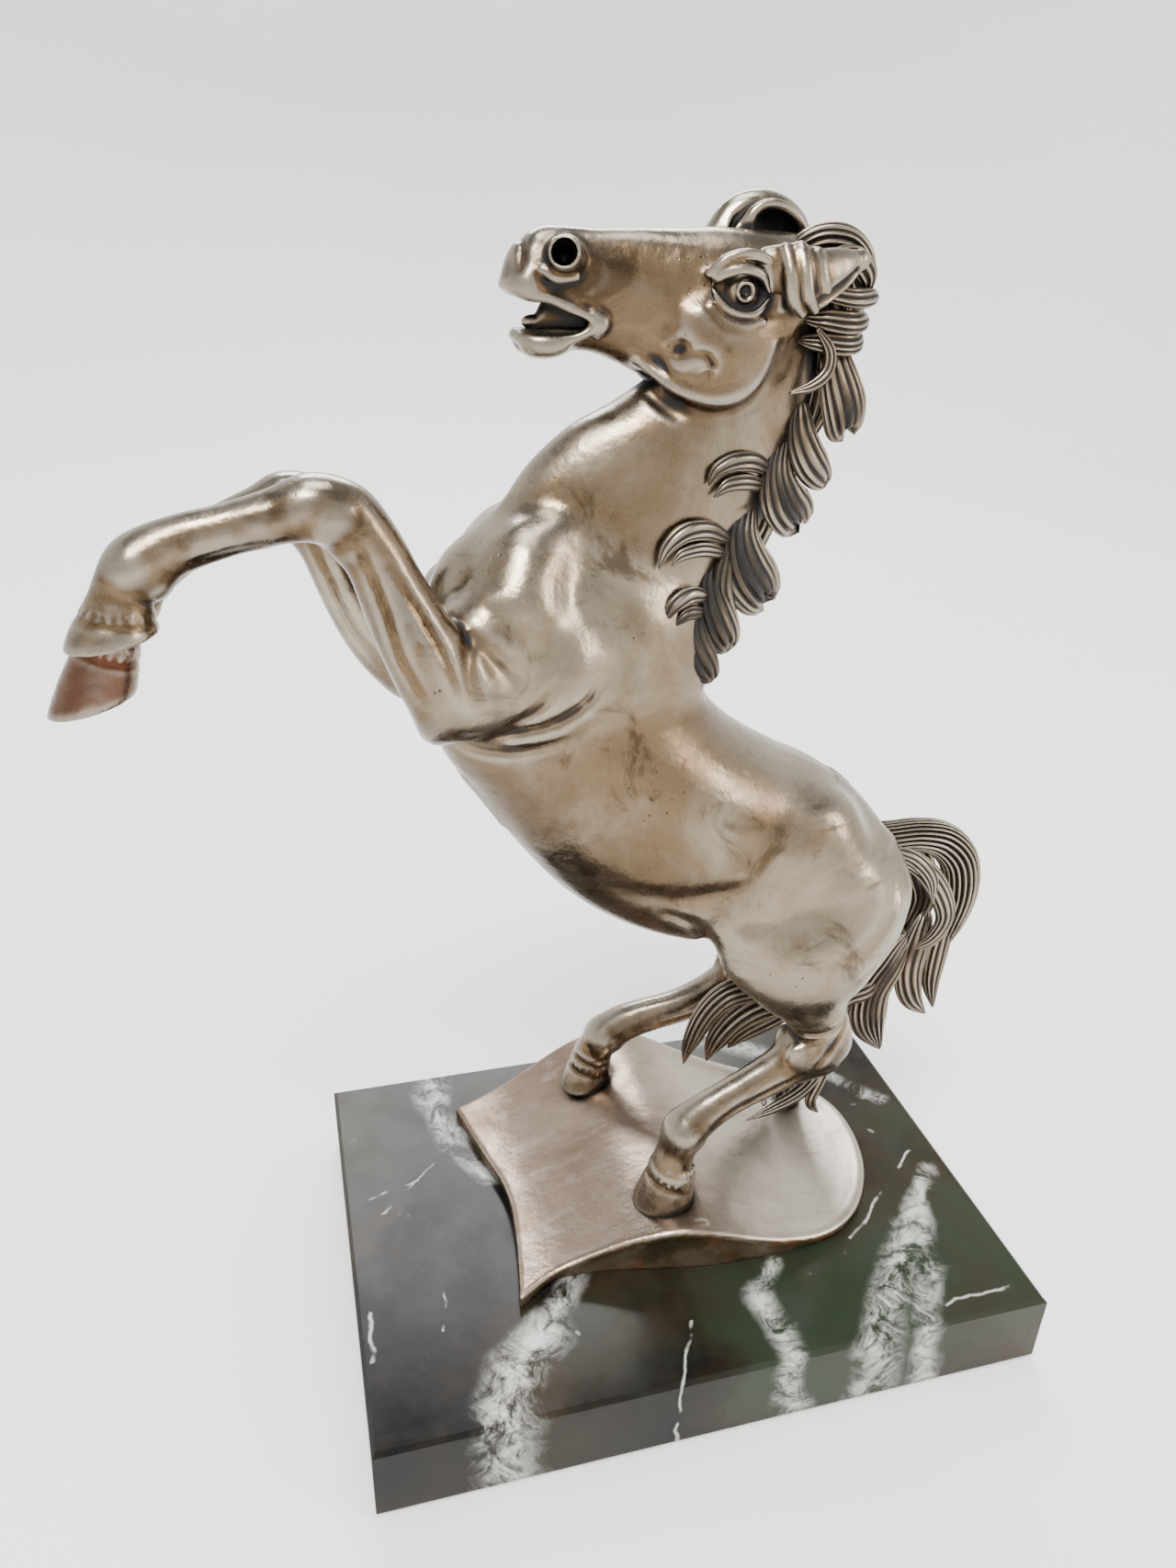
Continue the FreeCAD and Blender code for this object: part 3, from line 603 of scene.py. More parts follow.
HOOVES = {
    # coronet, middle of the sole (x, z), y, half depth at each, lean, tilt of the sole
    "foreleg_left": ((-134.2, 238.6), (-136.6, 230.4), -20, 6.2, 9.4, 172, 9),
    "foreleg_right": ((-142, 218.5), (-148.4, 202.8), 15, 6.8, 9.4, 160, 13),
    "hind_leg_left": ((-3.6, 55.0), (-6.4, 42), -20.8, 7.2, 9.0, -18, 0),
    "hind_leg_right": ((-14.4, 55), (-17, 44), 33.4, 6.6, 8.0, -14, 0),
}


def sculpt_body():
    """Trunk, neck and four legs in one clay, so that the castings meet without a step."""
    clay = Clay((-162, -36, 30), (66, 46, 272), BODY_STEP)
    trunk(clay)
    shoulders(clay)
    haunches(clay)
    for leg in (FORELEG_LEFT, FORELEG_RIGHT):
        clay.limb(leg, 3.0, caps=(6, 3))
    for leg in (HINDLEG_LEFT, HINDLEG_RIGHT):
        clay.limb(leg, 5.0, caps=(6, 3))
    leg_bones(clay)
    for points, width, depth in BODY_FOLDS:
        clay.press(points, width, depth)
    for points, width, depth, side in TENDON_GROOVES:
        clay.press(points, width, depth, (side,))
    for place in HOOVES.values():
        hoof(clay, *place)
        hair_fringe(clay, *place[:-1])
    return clay


def body_labels(middle):
    """Which casting each face of the body belongs to, from the middle of the face."""
    x, y, z = middle.T
    label = np.zeros(len(middle), int)                                     # torso
    label[(x + 26) * 0.454 + (z - 231) * 0.891 > 0] = 1                    # neck
    label[(x < -71) & (y < MIDDLE_Y)] = 2
    label[(x < -71) & (y >= MIDDLE_Y)] = 3
    hind = (z < 128 + 0.6 * x) & (x > -45)
    label[hind & (y < MIDDLE_Y)] = 4
    label[hind & (y >= MIDDLE_Y)] = 5
    label[(z > HEAD_SEAM_Z) & (x > -71)] = -1                              # made with the head
    return label


def head_labels(middle):
    """The head's casting is what stands above its seam; the rest is made with the body."""
    return np.where(middle[:, 2] > HEAD_SEAM_Z, 0, -1)


def one_label(middle):
    """Every face belongs to the one casting."""
    return np.zeros(len(middle), int)


BODY_NODES = ["torso_casting", "neck_casting", "foreleg_left", "foreleg_right",
              "hind_leg_left", "hind_leg_right"]


# ------------------------------------------------------------------ head
SKULL = [
    (-48.2, 299.6, 2, 6.6, 4.8, 78), (-46.4, 298.8, 2, 9.4, 6.2, 80), (-43.6, 298, 2, 11.3, 6.9, 82),
    (-39, 297, 2, 12.4, 7.1, 85), (-30, 296.5, 2, 12.5, 7.5, 88), (-20, 294.6, 2, 14.8, 8.6, 90),
    (-10, 292.4, 2, 17.2, 10.2, 91), (-1, 291.4, 2, 18.6, 11.4, 92), (8, 292, 2, 17.6, 11.6, 88),
    (17, 295, 2, 14, 10.0, 78), (24, 299, 2, 7, 6, 70)]
MOUTH_GAP = [(-64, 292.6, 2, 7.5, 30, 88), (-50, 292.6, 2, 4.4, 30, 88), (-42, 291.7, 2, 3.0, 30, 88),
             (-35.5, 290.9, 2, 1.8, 30, 88), (-31.2, 290.5, 2, 0.8, 30, 88)]
TONGUE = [(-43.5, 290.2, 2, 1.6, 1.8, 88), (-40, 291.4, 2, 5.5, 2.0, 88), (-33, 291, 2, 5, 3.2, 88)]


def muzzle(clay):
    clay.limb(MOUTH_GAP, 0.8, cut=True)
    clay.limb(TONGUE, 0.6)
    upper = [(-50.0, 1.0, 297.6), (-48.4, -2.6, 297.2), (-45.4, -4.4, 296.0), (-41.4, -5.0, 295.6),
             (-37, -4.9, 293.6), (-33.3, -5.1, 292.0), (-30.8, -5.2, 290.4)]
    clay.rope(upper, (0.8, 0.9, 1.0, 0.9, 0.9, 0.9, 0.9), soft=1.6, pair=True)
    lower = [(-47.8, 1.0, 287.6), (-46.4, -2.4, 287.2), (-43.5, -4.2, 286.8), (-39, -4.8, 287.0),
             (-34.5, -5.1, 288.2), (-30.8, -5.2, 290.4)]
    clay.rope(lower, (1.2, 1.2, 1.1, 0.9, 0.9, 0.9), soft=1.6, pair=True)
    clay.lump((-45.0, 299.0, -3.0), (4.4, 2.8, 3.0), 20, soft=3, pair=True)     # upper lip
    clay.lump((-41.5, 285.4, -1.4), (5.4, 2.4, 4.2), 6, soft=3, pair=True)      # chin
    clay.rope([(-31.6, -5.0, 292.4), (-29.8, -5.4, 290.6), (-30.8, -5.0, 288.2)],
              (0.6, 0.9, 0.5), soft=2.2, pair=True)                            # lip corner
    dents = ((-26.0, 290.6, 2.2), (-21.0, 286.6, 2.0), (-17.0, 289.6, 1.8), (-25.0, 286.2, 1.4),
             (-14.0, 285.6, 1.6))
    for x, z, size in dents:
        clay.lump((x, z, -9.2 + 0.05 * x), (size, size * 0.8, 1.8), 25, soft=3.4, cut=True,
                  pair=True)


def nostrils(clay):
    clay.lump((-38.0, 301.0, -7.4), (7.0, 4.6, 2.8), 12, soft=2.6, cut=True, pair=True)
    clay.rope([(-37.2, 0.0, 302.2), (-38.4, -4.6, 303.4), (-39.2, -7.4, 304.2)], (4.8, 4.1, 3.6),
              soft=1.6, pair=True)
    clay.rope([(-38.4, -3.0, 303.2), (-39.2, -6.4, 304.0), (-40.2, -10.5, 305.0)], (1.7, 2.3, 2.9),
              soft=0.8, cut=True, pair=True)
    clay.rope([(-43.4, -5.4, 301.0), (-40.6, -6.6, 299.4), (-36.4, -6.8, 299.6)], (0.6, 1.0, 0.6),
              soft=1.8, pair=True)


def cheeks(clay):
    clay.lump((-3.5, 285.4, -7.4), (11.4, 11.2, 4.8), 20, soft=5, pair=True)
    rim = [(-21, -3.0, 283.0), (-16.5, -5.8, 279.4), (-11.5, -8.0, 276.4), (-5, -9.2, 275.4),
           (1, -9.2, 277.0), (5.5, -8.6, 281.0), (8, -8.0, 286.0)]
    clay.rope(rim, (0.7, 1.1, 1.4, 1.5, 1.4, 1.2, 0.8), soft=3.4, pair=True)
    under = [(-19.5, -3.0, 277.6), (-14.5, -7.2, 274.0), (-9.5, -10.6, 272.0), (-3.5, -11.4, 271.4),
             (3.5, -10.8, 273.2), (8.5, -10.4, 278.8), (11, -10.2, 286)]
    clay.rope(under, (1.4, 2.0, 1.9, 1.6, 1.4, 1.2, 0.8), soft=2.2, cut=True, pair=True)
    ring = [(-9.6 + 3.0 * math.cos(t), -12.1, 282.4 + 2.6 * math.sin(t))
            for t in np.linspace(0.3, 5.6, 9)]
    clay.rope(ring, [0.45] * 9, soft=1.6, cut=True)
    clay.press([(-33, 294.0), (-26, 294.0), (-19, 293.0), (-14, 290.4)], 3.0, 0.35)
    clay.press([(-40, 307), (-31, 305.5), (-22, 303), (-13, 302.5)], 3.4, 0.7)
    clay.lump((-14, 301, -11.2), (9, 4, 2.6), -10, soft=4, cut=True, pair=True)


def eyes(clay):
    clay.lump((0.2, 298.0, -13.4), (8.2, 6.4, 3.9), 6, soft=3.6, cut=True, pair=True)
    clay.lump((0.6, 297.6, -6.8), (4.1, 4.1, 4.1), 0, soft=0.5, pair=True)
    folds = [
        ([(-6.6, -8.8, 299.0), (-4.4, -9.9, 301.0), (-0.3, -10.8, 302.0), (4, -10.4, 300.8),
          (6.2, -9.4, 297.8)], 0.95, 0.7),
        ([(-7.8, -8.6, 301.0), (-4.4, -9.4, 303.9), (0.5, -9.9, 305.2), (6, -9.6, 303.6),
          (9.0, -9.2, 299.2), (9.4, -9.2, 294.8)], 1.05, 2.6),
        ([(-6.8, -8.8, 298.4), (-4.6, -9.8, 295.0), (-0.8, -10.7, 293.2), (3.2, -10.6, 293.4),
          (6.3, -9.6, 296.2)], 0.75, 0.7),
        ([(-6.8, -9.4, 294.6), (-4.0, -10.3, 291.8), (0.6, -10.8, 290.6), (4.8, -10.6, 291.8)],
         0.7, 1.4)]
    for points, thick, soft in folds:
        radii = [thick * (0.5 if i in (0, len(points) - 1) else 1) for i in range(len(points))]
        clay.rope(points, radii, soft=soft, pair=True)
    for size, thick, cut in ((2.9, 0.36, True), (2.0, 0.16, False)):
        ring = [(0.4 + size * math.cos(t), -10.8 + 0.08 * size * size, 297.7 + size * math.sin(t))
                for t in np.linspace(0, 2 * math.pi, 11)]
        clay.rope(ring, [thick] * 11, soft=0.4, cut=cut, pair=True)
    clay.lump((0.4, 297.7, -11.2), (1.5, 1.5, 1.9), 0, soft=0.5, cut=True, pair=True)
    clay.rope([(-8.4, -8.6, 299.6), (-6.4, -9.6, 298.6), (-5.2, -10.2, 298.2)], (0.4, 0.7, 0.4),
              soft=0.8, cut=True, pair=True)
    clay.lump((11.0, 303.0, -9.5), (3.4, 2.6, 2.2), 20, soft=2.4, cut=True, pair=True)


def sculpt_head():
    clay = Clay((-57, -15, 262), (30, 19, 313), HEAD_STEP)
    neck(clay)
    clay.limb(SKULL, 1.6, caps=(2.5, 4))
    cheeks(clay)
    muzzle(clay)
    nostrils(clay)
    eyes(clay)
    return clay


def sculpt_ear_right():
    """Upright rounded hood, its hollow turned to the left."""
    clay = Clay((-8, -2, 298), (30, 18, 322), HEAD_STEP)
    clay.lump((10.6, 308.2, 8.6), (12.4, 9.6, 4.8), -8, soft=1)
    clay.lump((8, 304, 8.0), (12.5, 5.5, 4.6), -14, soft=4)
    clay.lump((15.5, 303, 7.5), (7.5, 6.5, 5.2), 0, soft=3)
    groove = [(11.4 + 9.6 * math.cos(t), 4.6 + 1.0 * math.cos(t) ** 2,
               307.6 + 8.2 * math.sin(t)) for t in np.linspace(-0.3, 2.9, 12)]
    clay.rope(groove, [0.65] * 12, soft=1.0, cut=True)
    clay.lump((13.0, 309.4, 3.2), (6.0, 4.4, 4.8), -32, soft=1.6, cut=True)
    rim = [(12.6 + 6.9 * math.cos(t), 4.4, 309.2 + 5.6 * math.sin(t) - 1.2 * math.cos(t))
           for t in np.linspace(-1.1, 3.4, 12)]
    clay.rope(rim, [0.6] + [1.1] * 10 + [0.6], soft=1.2)
    return clay


def sculpt_ear_left():
    """Ear folded back along the neck: a soft flap with three ruffles at its root."""
    clay = Clay((0, -20, 288), (36, 0, 312), HEAD_STEP)
    clay.limb([(6.5, 301.5, -7.5, 5.2, 3.4, 105), (12, 301.0, -10.0, 6.6, 4.0, 100),
               (18, 301.2, -10.6, 5.6, 3.6, 104), (23, 302.6, -9.6, 4.4, 3.0, 106),
               (27.0, 304.2, -8.6, 2.4, 2.0, 106)], 1.0, caps=(3, 3))
    clay.lump((16.0, 296.6, -10.6), (4.2, 3.0, 2.2), 20, soft=2.0)
    ruffles = [
        ([(8.6, -10.6, 306.4), (9.4, -13.0, 301.4), (10.4, -13.2, 296.4), (13.2, -12.2, 293.4)], 1.5),
        ([(12.0, -11.0, 307.0), (12.4, -13.8, 301.6), (13.6, -14.0, 297.0), (16.0, -12.6, 294.2)], 1.4),
        ([(15.8, -12.0, 306.0), (16.4, -13.8, 301.0), (18.6, -13.4, 297.2)], 1.1)]
    for points, thick in ruffles:
        clay.rope(points, [thick * 0.6] + [thick] * (len(points) - 2) + [thick * 0.6], soft=1.4)
    clay.rope([(17, -13.2, 296.4), (21, -12.4, 298.6), (26, -10.6, 302.4)], (0.7, 1.2, 0.6),
              soft=1.2, cut=True)
    return clay


# ------------------------------------------------------------------ hair
GROOVE_STEPS = 9         # mesh columns on each ridge of hair


def tress(path, widths, flat, ridges, seed):
    """A lock of hair: a closed, flattened sweep along points (x, y, z) with half widths,
    `flat` times as thick as it is wide, and `ridges` strands round it parted by sharp
    grooves.  Returns points, quads and how deep in a groove each point is."""
    rows = smooth_path([list(p) + [w] for p, w in zip(path, widths)], 9)
    spine, wide = rows[:, :3], rows[:, 3]
    ahead = np.gradient(spine, axis=0)
    ahead /= np.linalg.norm(ahead, axis=1)[:, None]
    across = np.cross(ahead, [0.05, -1.0, 0.15])
    across /= np.maximum(np.linalg.norm(across, axis=1), 1e-6)[:, None]
    outward = np.cross(across, ahead)
    t = np.linspace(0, 1, len(rows))[:, None]
    turn = (2 * math.pi * np.arange(ridges * GROOVE_STEPS) / (ridges * GROOVE_STEPS))[None, :]
    close = np.sqrt(np.clip(1 - t ** 9, 0, 1)) * np.sqrt(np.clip(1 - (1 - t) ** 9, 0, 1))
    w = wide[:, None]
    phase = (turn * ridges / 2 + 0.45 * np.sin(2 * turn + seed) + 0.25 * np.sin(3 * turn - seed)
             + 0.5 * np.sin(4.4 * t + seed))
    groove = 1 - np.abs(np.sin(phase)) ** 0.75
    fine = 0.5 + 0.5 * np.cos(6 * phase + 3 * t)
    sink = 1 - groove * np.clip(0.42 - 0.02 * w, 0.16, 0.4) - 0.03 * fine
    flare = 0.10 * np.sin(3 * turn + 2.0 * seed) * t ** 2
    a = w * np.cos(turn) * (sink * 0.35 + 0.65 + flare) * (0.25 + 0.75 * close)
    b = w * flat * np.sin(turn) * (sink + flare) * close
    slip = t ** 3 * w * (0.30 * (1 - groove) + 0.22 * np.sin(2 * turn + seed))
    points = (spine[:, None, :] + across[:, None, :] * a[..., None]
              + outward[:, None, :] * b[..., None] + ahead[:, None, :] * slip[..., None])
    count, around = a.shape
    index = np.arange(count * around).reshape(count, around)
    after = np.roll(index, -1, axis=1)
    quads = np.stack([index[:-1], after[:-1], after[1:], index[1:]], -1).reshape(-1, 4)
    faces = quads.tolist() + [index[0, ::-1].tolist(), index[-1].tolist()]
    return points.reshape(-1, 3), faces, (0.42 * groove - 0.12 + 0.03 * fine).ravel(), rows


# node: tresses of (path, half widths, flatness, ridges)
MANE = {
    "forelock": [
        ([(12, 0, 302), (16, -1, 305.6), (21, -2, 307.6), (27, -2.5, 306.8), (31, -3, 302.6),
          (31.8, -3, 297)], (2.5, 3.4, 4.0, 4.2, 3.6, 1.2), 0.9, 14),
        ([(17, -6, 302), (23, -7, 304.4), (27.5, -7, 304.2), (31, -6, 301.2), (32.4, -5, 297.2)],
         (1.6, 2.6, 3.0, 2.6, 0.8), 0.7, 11),
        ([(14, 5, 302), (20, 5.5, 304.4), (27, 5, 303.4), (32, 4, 299), (33, 3.5, 293)],
         (2.5, 3.8, 4.4, 3.6, 1.0), 0.8, 12)],
    "mane_lock_1": [
        ([(15, -6, 297.6), (20, -9, 297.6), (27, -9.2, 296.6), (33, -6, 296.8), (36.4, -1, 297.4)],
         (1.0, 1.8, 2.2, 2.0, 0.6), 0.75, 9),
        ([(16, -6, 292.4), (21, -8.6, 292), (27, -8.6, 291.4), (31.5, -5, 292), (33, 2, 293)],
         (1.6, 2.5, 2.7, 2.4, 1.2), 0.8, 9),
        ([(16, -6, 287.6), (21, -8.2, 287.2), (27, -8.2, 286.8), (31, -4.5, 287.6), (31.5, 3, 289)],
         (1.6, 2.4, 2.6, 2.4, 1.2), 0.8, 9),
        ([(22, 1, 298), (26, 1, 292), (27, 1, 285), (26, 1, 279)], (4, 5.5, 5, 3.5), 1.0, 13),
        ([(18, 6, 298), (24, 7.5, 292), (26, 7, 284), (24, 6, 276)], (3, 4.2, 4, 1.0), 0.7, 11)],
    "mane_lock_2": [
        ([(25, -4.5, 288), (26, -7.4, 281), (28, -8.2, 274.5), (30.6, -6.4, 268.4)],
         (3.2, 4.8, 6.0, 6.4), 0.42, 15),
        ([(18.4, -9.6, 290.6), (21.6, -10.6, 286), (21.2, -11.4, 281.4), (17.6, -11.8, 278.4),
          (12.6, -11.4, 276.8)], (0.9, 1.5, 1.6, 1.3, 0.5), 0.8, 7),
        ([(23, 1, 282), (24, 1, 275), (22.5, 0.5, 268), (19.5, 0, 262)], (4.4, 5.2, 4.6, 1.2), 0.8, 13)],
    "mane_lock_3": [
        ([(19.5, -3.5, 274), (19.4, -6.4, 266.5), (22, -7.4, 260.4), (26.8, -5.6, 256)],
         (2.4, 3.9, 4.6, 3.8), 0.5, 11),
        ([(16.5, -3.5, 267), (13.8, -6.6, 258.5), (15.4, -8, 251.8), (20.4, -6, 246.6)],
         (2.6, 4.4, 6.4, 7.2), 0.44, 15),
        ([(21, 1.5, 270), (19.5, 2, 262), (16.5, 2, 254), (13, 1.5, 247)], (4, 5, 4.6, 1.5), 0.9, 13)],
    "mane_lock_4": [
        ([(8.6, -4.5, 251.5), (5.8, -7.4, 243.5), (7.6, -8.8, 235.6), (13.6, -6.2, 228)],
         (3.0, 5.2, 7.4, 8.0), 0.44, 17),
        ([(15, 1.5, 254), (13.5, 2, 246), (10, 2, 238), (6, 1.5, 230)], (4, 5.2, 4.8, 1.5), 0.9, 13),
        ([(3.4, -8, 243), (1.4, -9.6, 236), (2.2, -9.6, 229.6), (5.6, -8, 224.6)],
         (1.6, 2.8, 3.0, 1.0), 0.6, 8)],
    "mane_lock_5": [
        ([(0.6, -6.4, 239.5), (-1.4, -9.4, 231.5), (0.8, -10.2, 223.4), (4.6, -8, 216.6)],
         (2.4, 4.0, 5.2, 5.0), 0.5, 13),
        ([(8, 1, 238), (5.5, 1, 230), (2.5, 0.5, 222), (0.5, 0, 215)], (3.6, 4.8, 4.2, 1.5), 0.9, 12)],
    "mane_lock_6": [
        ([(-5.4, -9.4, 228.6), (-6, -11.6, 221.4), (-3.6, -11.2, 214.6), (0.6, -8.8, 208.4)],
         (2.2, 3.6, 4.4, 3.6), 0.5, 11),
        ([(-9.4, -11.6, 224.6), (-9.6, -13, 219), (-7.4, -12.6, 213.6)], (1.4, 2.4, 0.8), 0.6, 7),
        ([(2, 0, 224), (-1, -1, 217), (-2.5, -2, 210.5)], (3.2, 4, 1.4), 0.9, 11)],
    "neck_curl_1": [
        ([(12, -6.6, 258.6), (6.5, -9.2, 261.2), (1, -10.6, 261.6), (-3.4, -11.2, 259.8),
          (-5, -11.2, 256.8)], (2.0, 2.4, 2.2, 1.5, 0.5), 0.5, 8),
        ([(11, -7, 255), (5, -9.6, 256.9), (0, -10.8, 256.6), (-3.6, -11.4, 254)],
         (1.8, 2.1, 1.7, 0.5), 0.5, 7)],
    "neck_curl_2": [
        ([(2, -9.2, 243.2), (-4.5, -11.6, 246.2), (-10.5, -13, 246.2), (-15, -13.6, 243),
          (-16.8, -13.6, 238.4)], (2.0, 2.5, 2.4, 1.7, 0.5), 0.5, 8),
        ([(1, -9.6, 240), (-5.6, -12, 242), (-11, -13.4, 241.4), (-13.6, -13.6, 239)],
         (1.8, 1.9, 1.5, 0.5), 0.5, 7)],
    "neck_curl_3": [
        ([(-3, -11, 230), (-8.4, -13.6, 231.4), (-13, -15, 229.4), (-15.2, -15.4, 225.6)],
         (1.8, 2.3, 1.9, 0.5), 0.5, 7),
        ([(-4, -11.6, 226.2), (-8.6, -14, 227.2), (-12.4, -15.2, 224.8)], (1.7, 1.8, 0.5), 0.5, 7)],
}
TAIL = {
    "tail_upper": [
        ([(48, 2, 146), (56, 2, 149), (65, 2, 148.6), (75, 2, 148.4), (84.4, 2, 145.4),
          (91.4, 2, 137.6), (94, 2, 126), (93, 2, 114), (91, 2, 101)],
         (5, 5.4, 5.2, 5.2, 5.8, 6.2, 6.0, 4.6, 1.0), 0.85, 22),
        ([(60, -1.5, 146.6), (68, -3.4, 144.6), (75.6, -4.8, 139.6), (82, -5.4, 131),
          (85.6, -5, 121.5), (82.6, -4, 113), (74, -3, 108.4)],
         (2.6, 3.2, 3.6, 3.8, 3.4, 2.6, 0.8), 0.5, 11),
        ([(62, -2.5, 147.4), (70.5, -5.4, 144.4), (77, -6.6, 137.4), (79.4, -6.6, 128)],
         (1.8, 2.4, 2.2, 0.5), 0.5, 8),
        ([(60, 5.5, 146.6), (68, 7.4, 144.6), (75.6, 8.8, 139.6), (82, 9.4, 131),
          (85.6, 9, 121.5), (82.6, 8, 112), (76, 7, 103)],
         (3.6, 5.4, 6.6, 7.0, 6.4, 4.6, 1.0), 0.4, 16)],
    "tail_lower": [
        ([(83, 0.5, 121), (79.4, -2, 111), (77.4, -3.4, 101.6), (79.6, -4, 92.4), (86.6, -3, 83.6)],
         (3.6, 5.0, 5.0, 4.0, 0.9), 0.5, 13),
        ([(92, 2, 116), (89.6, 1, 105), (88.6, 0, 94.6), (90.6, -1, 84)],
         (3.0, 4.0, 3.4, 0.8), 0.6, 11),
        ([(77, -1, 114), (70, -4, 107), (63.6, -6, 98.6), (63.6, -7, 88), (70.4, -5.6, 74.4)],
         (3.4, 5.8, 6.8, 6.2, 1.6), 0.45, 17),
        ([(68, -5, 104), (61, -7.6, 100), (54.6, -8.4, 98.4), (51.6, -8, 92.6)],
         (2.0, 3.0, 2.4, 0.6), 0.6, 8),
        ([(81, 5, 112), (76, 8, 96), (70.4, 11, 82), (64.4, 16, 67), (59.6, 21, 52),
          (57, 24.6, 39), (57, 26, 29)], (5.4, 6.4, 6.4, 5.8, 5.2, 5.2, 6.6), 0.8, 16)],
    "tail_curl": [
        ([(72, 4, 99), (58, 5, 95), (45, 7, 93.6), (32, 8, 94.6), (22, 8.4, 93.2),
          (15.4, 8.6, 87), (11, 8.6, 76.6), (9.2, 8.6, 68)],
         (3.0, 4.6, 5.0, 4.8, 4.8, 4.4, 3.2, 0.7), 0.7, 15),
        ([(60, 6, 90), (46, 8, 87.6), (34, 9, 86), (26, 9.6, 81.4), (21, 10.2, 74.4),
          (18, 10.6, 66)], (3.6, 5.2, 5.4, 5.0, 4.0, 0.8), 0.7, 14),
        ([(46, 9, 83.6), (36, 10, 80), (29, 10.6, 75.4), (25.4, 11, 69.6)],
         (4.0, 4.6, 3.6, 0.7), 0.7, 11),
        ([(58, -4, 86), (49, -9.6, 76), (41, -12.4, 68.8), (31.6, -14, 65.2), (21.6, -15, 62.6)],
         (1.6, 2.4, 2.6, 2.0, 0.5), 0.7, 8),
        ([(55, -6, 82), (47.6, -11, 71), (44.4, -12.6, 63.6), (48, -12, 57.6)],
         (1.4, 2.2, 2.0, 0.5), 0.7, 7)],
}


def grow_hair():
    """The tresses of every node of hair."""
    return {node: [tress(*lock, seed=1.3 * number + 0.7 * len(node))
                   for number, lock in enumerate(locks)]
            for node, locks in list(MANE.items()) + list(TAIL.items())}


def hair_piece(node, tresses, around):
    """One piece from the tresses of a node, with its layers for the material."""
    points, faces, grooves, start = [], [], [], 0
    for spots, quads, groove, _ in tresses:
        points.append(spots)
        grooves.append(groove)
        faces += [[corner + start for corner in face] for face in quads]
        start += len(spots)
    points, grooves = np.vstack(points), np.concatenate(grooves)
    piece = new_piece(node + "_metal", points, faces)
    facing = np.array([vertex.normal[:] for vertex in piece.data.vertices])
    for label, values in (("hollow", grooves),
                          ("enclosed", around.enclosed(points, facing, 2.6))):
        layer = piece.data.attributes.new(label, "FLOAT", "POINT")
        layer.data.foreach_set("value", np.asarray(values, np.float32))
    return piece


def sculpt_all():
    """Every clay, under the name of the node or group that it makes."""
    return {"body": sculpt_body(), "head": sculpt_head(), "ear_right": sculpt_ear_right(),
            "ear_left": sculpt_ear_left(), "ground_casting": sculpt_ground()}


# ------------------------------------------------------------------ ground plate
GROUND_OUTLINE = [
    (-59.5, 47), (-54.5, 25), (-50, 5), (-50.5, -13), (-54, -36), (-41, -31), (-24, -32),
    (-9, -35), (8, -37.5), (27, -38), (44, -35.5), (58, -27.5), (68.5, -13), (73, 4), (71.5, 20),
    (62, 34), (44, 43.5), (20, 50), (-5, 53), (-24, 53.5), (-43, 51)]
GROUND_TIP = 4                  # the sharp front corner's place in the outline
MARBLE_TOP = mm_box("marble_base")[1][2]


def outline_gap(gx, gy):
    """Distance to the plate's edge in plan, negative inside it."""
    left = smooth_path(GROUND_OUTLINE[:GROUND_TIP + 1], 6)
    rest = smooth_path(GROUND_OUTLINE[GROUND_TIP:] + GROUND_OUTLINE[:1], 6)
    line = np.vstack([left[:-1], rest])
    gap2, inside = np.full(gx.shape, 1e9), np.zeros(gx.shape, bool)
    for a, b in zip(line[:-1], line[1:]):
        run = b - a
        t = np.clip(((gx - a[0]) * run[0] + (gy - a[1]) * run[1]) / float(run @ run), 0, 1)
        gap2 = np.minimum(gap2, (gx - a[0] - t * run[0]) ** 2 + (gy - a[1] - t * run[1]) ** 2)
        if a[1] != b[1]:
            crosses = (a[1] > gy) != (b[1] > gy)
            inside ^= crosses & (gx < a[0] + (gy - a[1]) / (b[1] - a[1]) * run[0])
    return np.sqrt(gap2) * np.where(inside, -1, 1)


def sculpt_ground():
    """Plate casting: its outline, arched top, bowl at the back and inset walls."""
    clay = Clay((-64, -43, 22), (78, 58, 50), 0.6)
    x, y, z = clay.axes
    gx, gy = np.meshgrid(x, y, indexing="ij")
    edge = outline_gap(gx, gy)
    top = ground_height(gx, gy)
    right = np.clip((gx - 12) / 20, 0, 1)
    top = top + 0.9 * right * np.exp(-((edge + 2.5) / 3.2) ** 2)              # rim
    top = top - 1.6 * np.exp(-((gx - 45) / 17) ** 2 - ((gy - 4) / 23) ** 2)   # bowl
    top = top + 0.06 * np.sin(gx / 5.3 + 0.6 * np.sin(gy / 7)) * np.sin(gy / 6.1)
    below = top[:, :, None] - z[None, None, :]
    front = np.clip((gx + 52) / 10, 0, 1)[:, :, None]
    inset = 2.2 * front * np.clip((below - 2.6) / 1.4, 0, 1) + 0.6 * np.clip(below / 12, 0, 1)
    side = edge[:, :, None] + inset
    solid = np.maximum(np.maximum(side, -below * 0.93), MARBLE_TOP - z[None, None, :])
    lip = np.maximum(1.6 - np.abs(side + below * 0.93), 0) / 1.6
    clay.dist = np.clip(solid + lip * lip * 0.4, -32, clay.FAR).astype(np.float32)
    ground_marks(clay)
    return clay


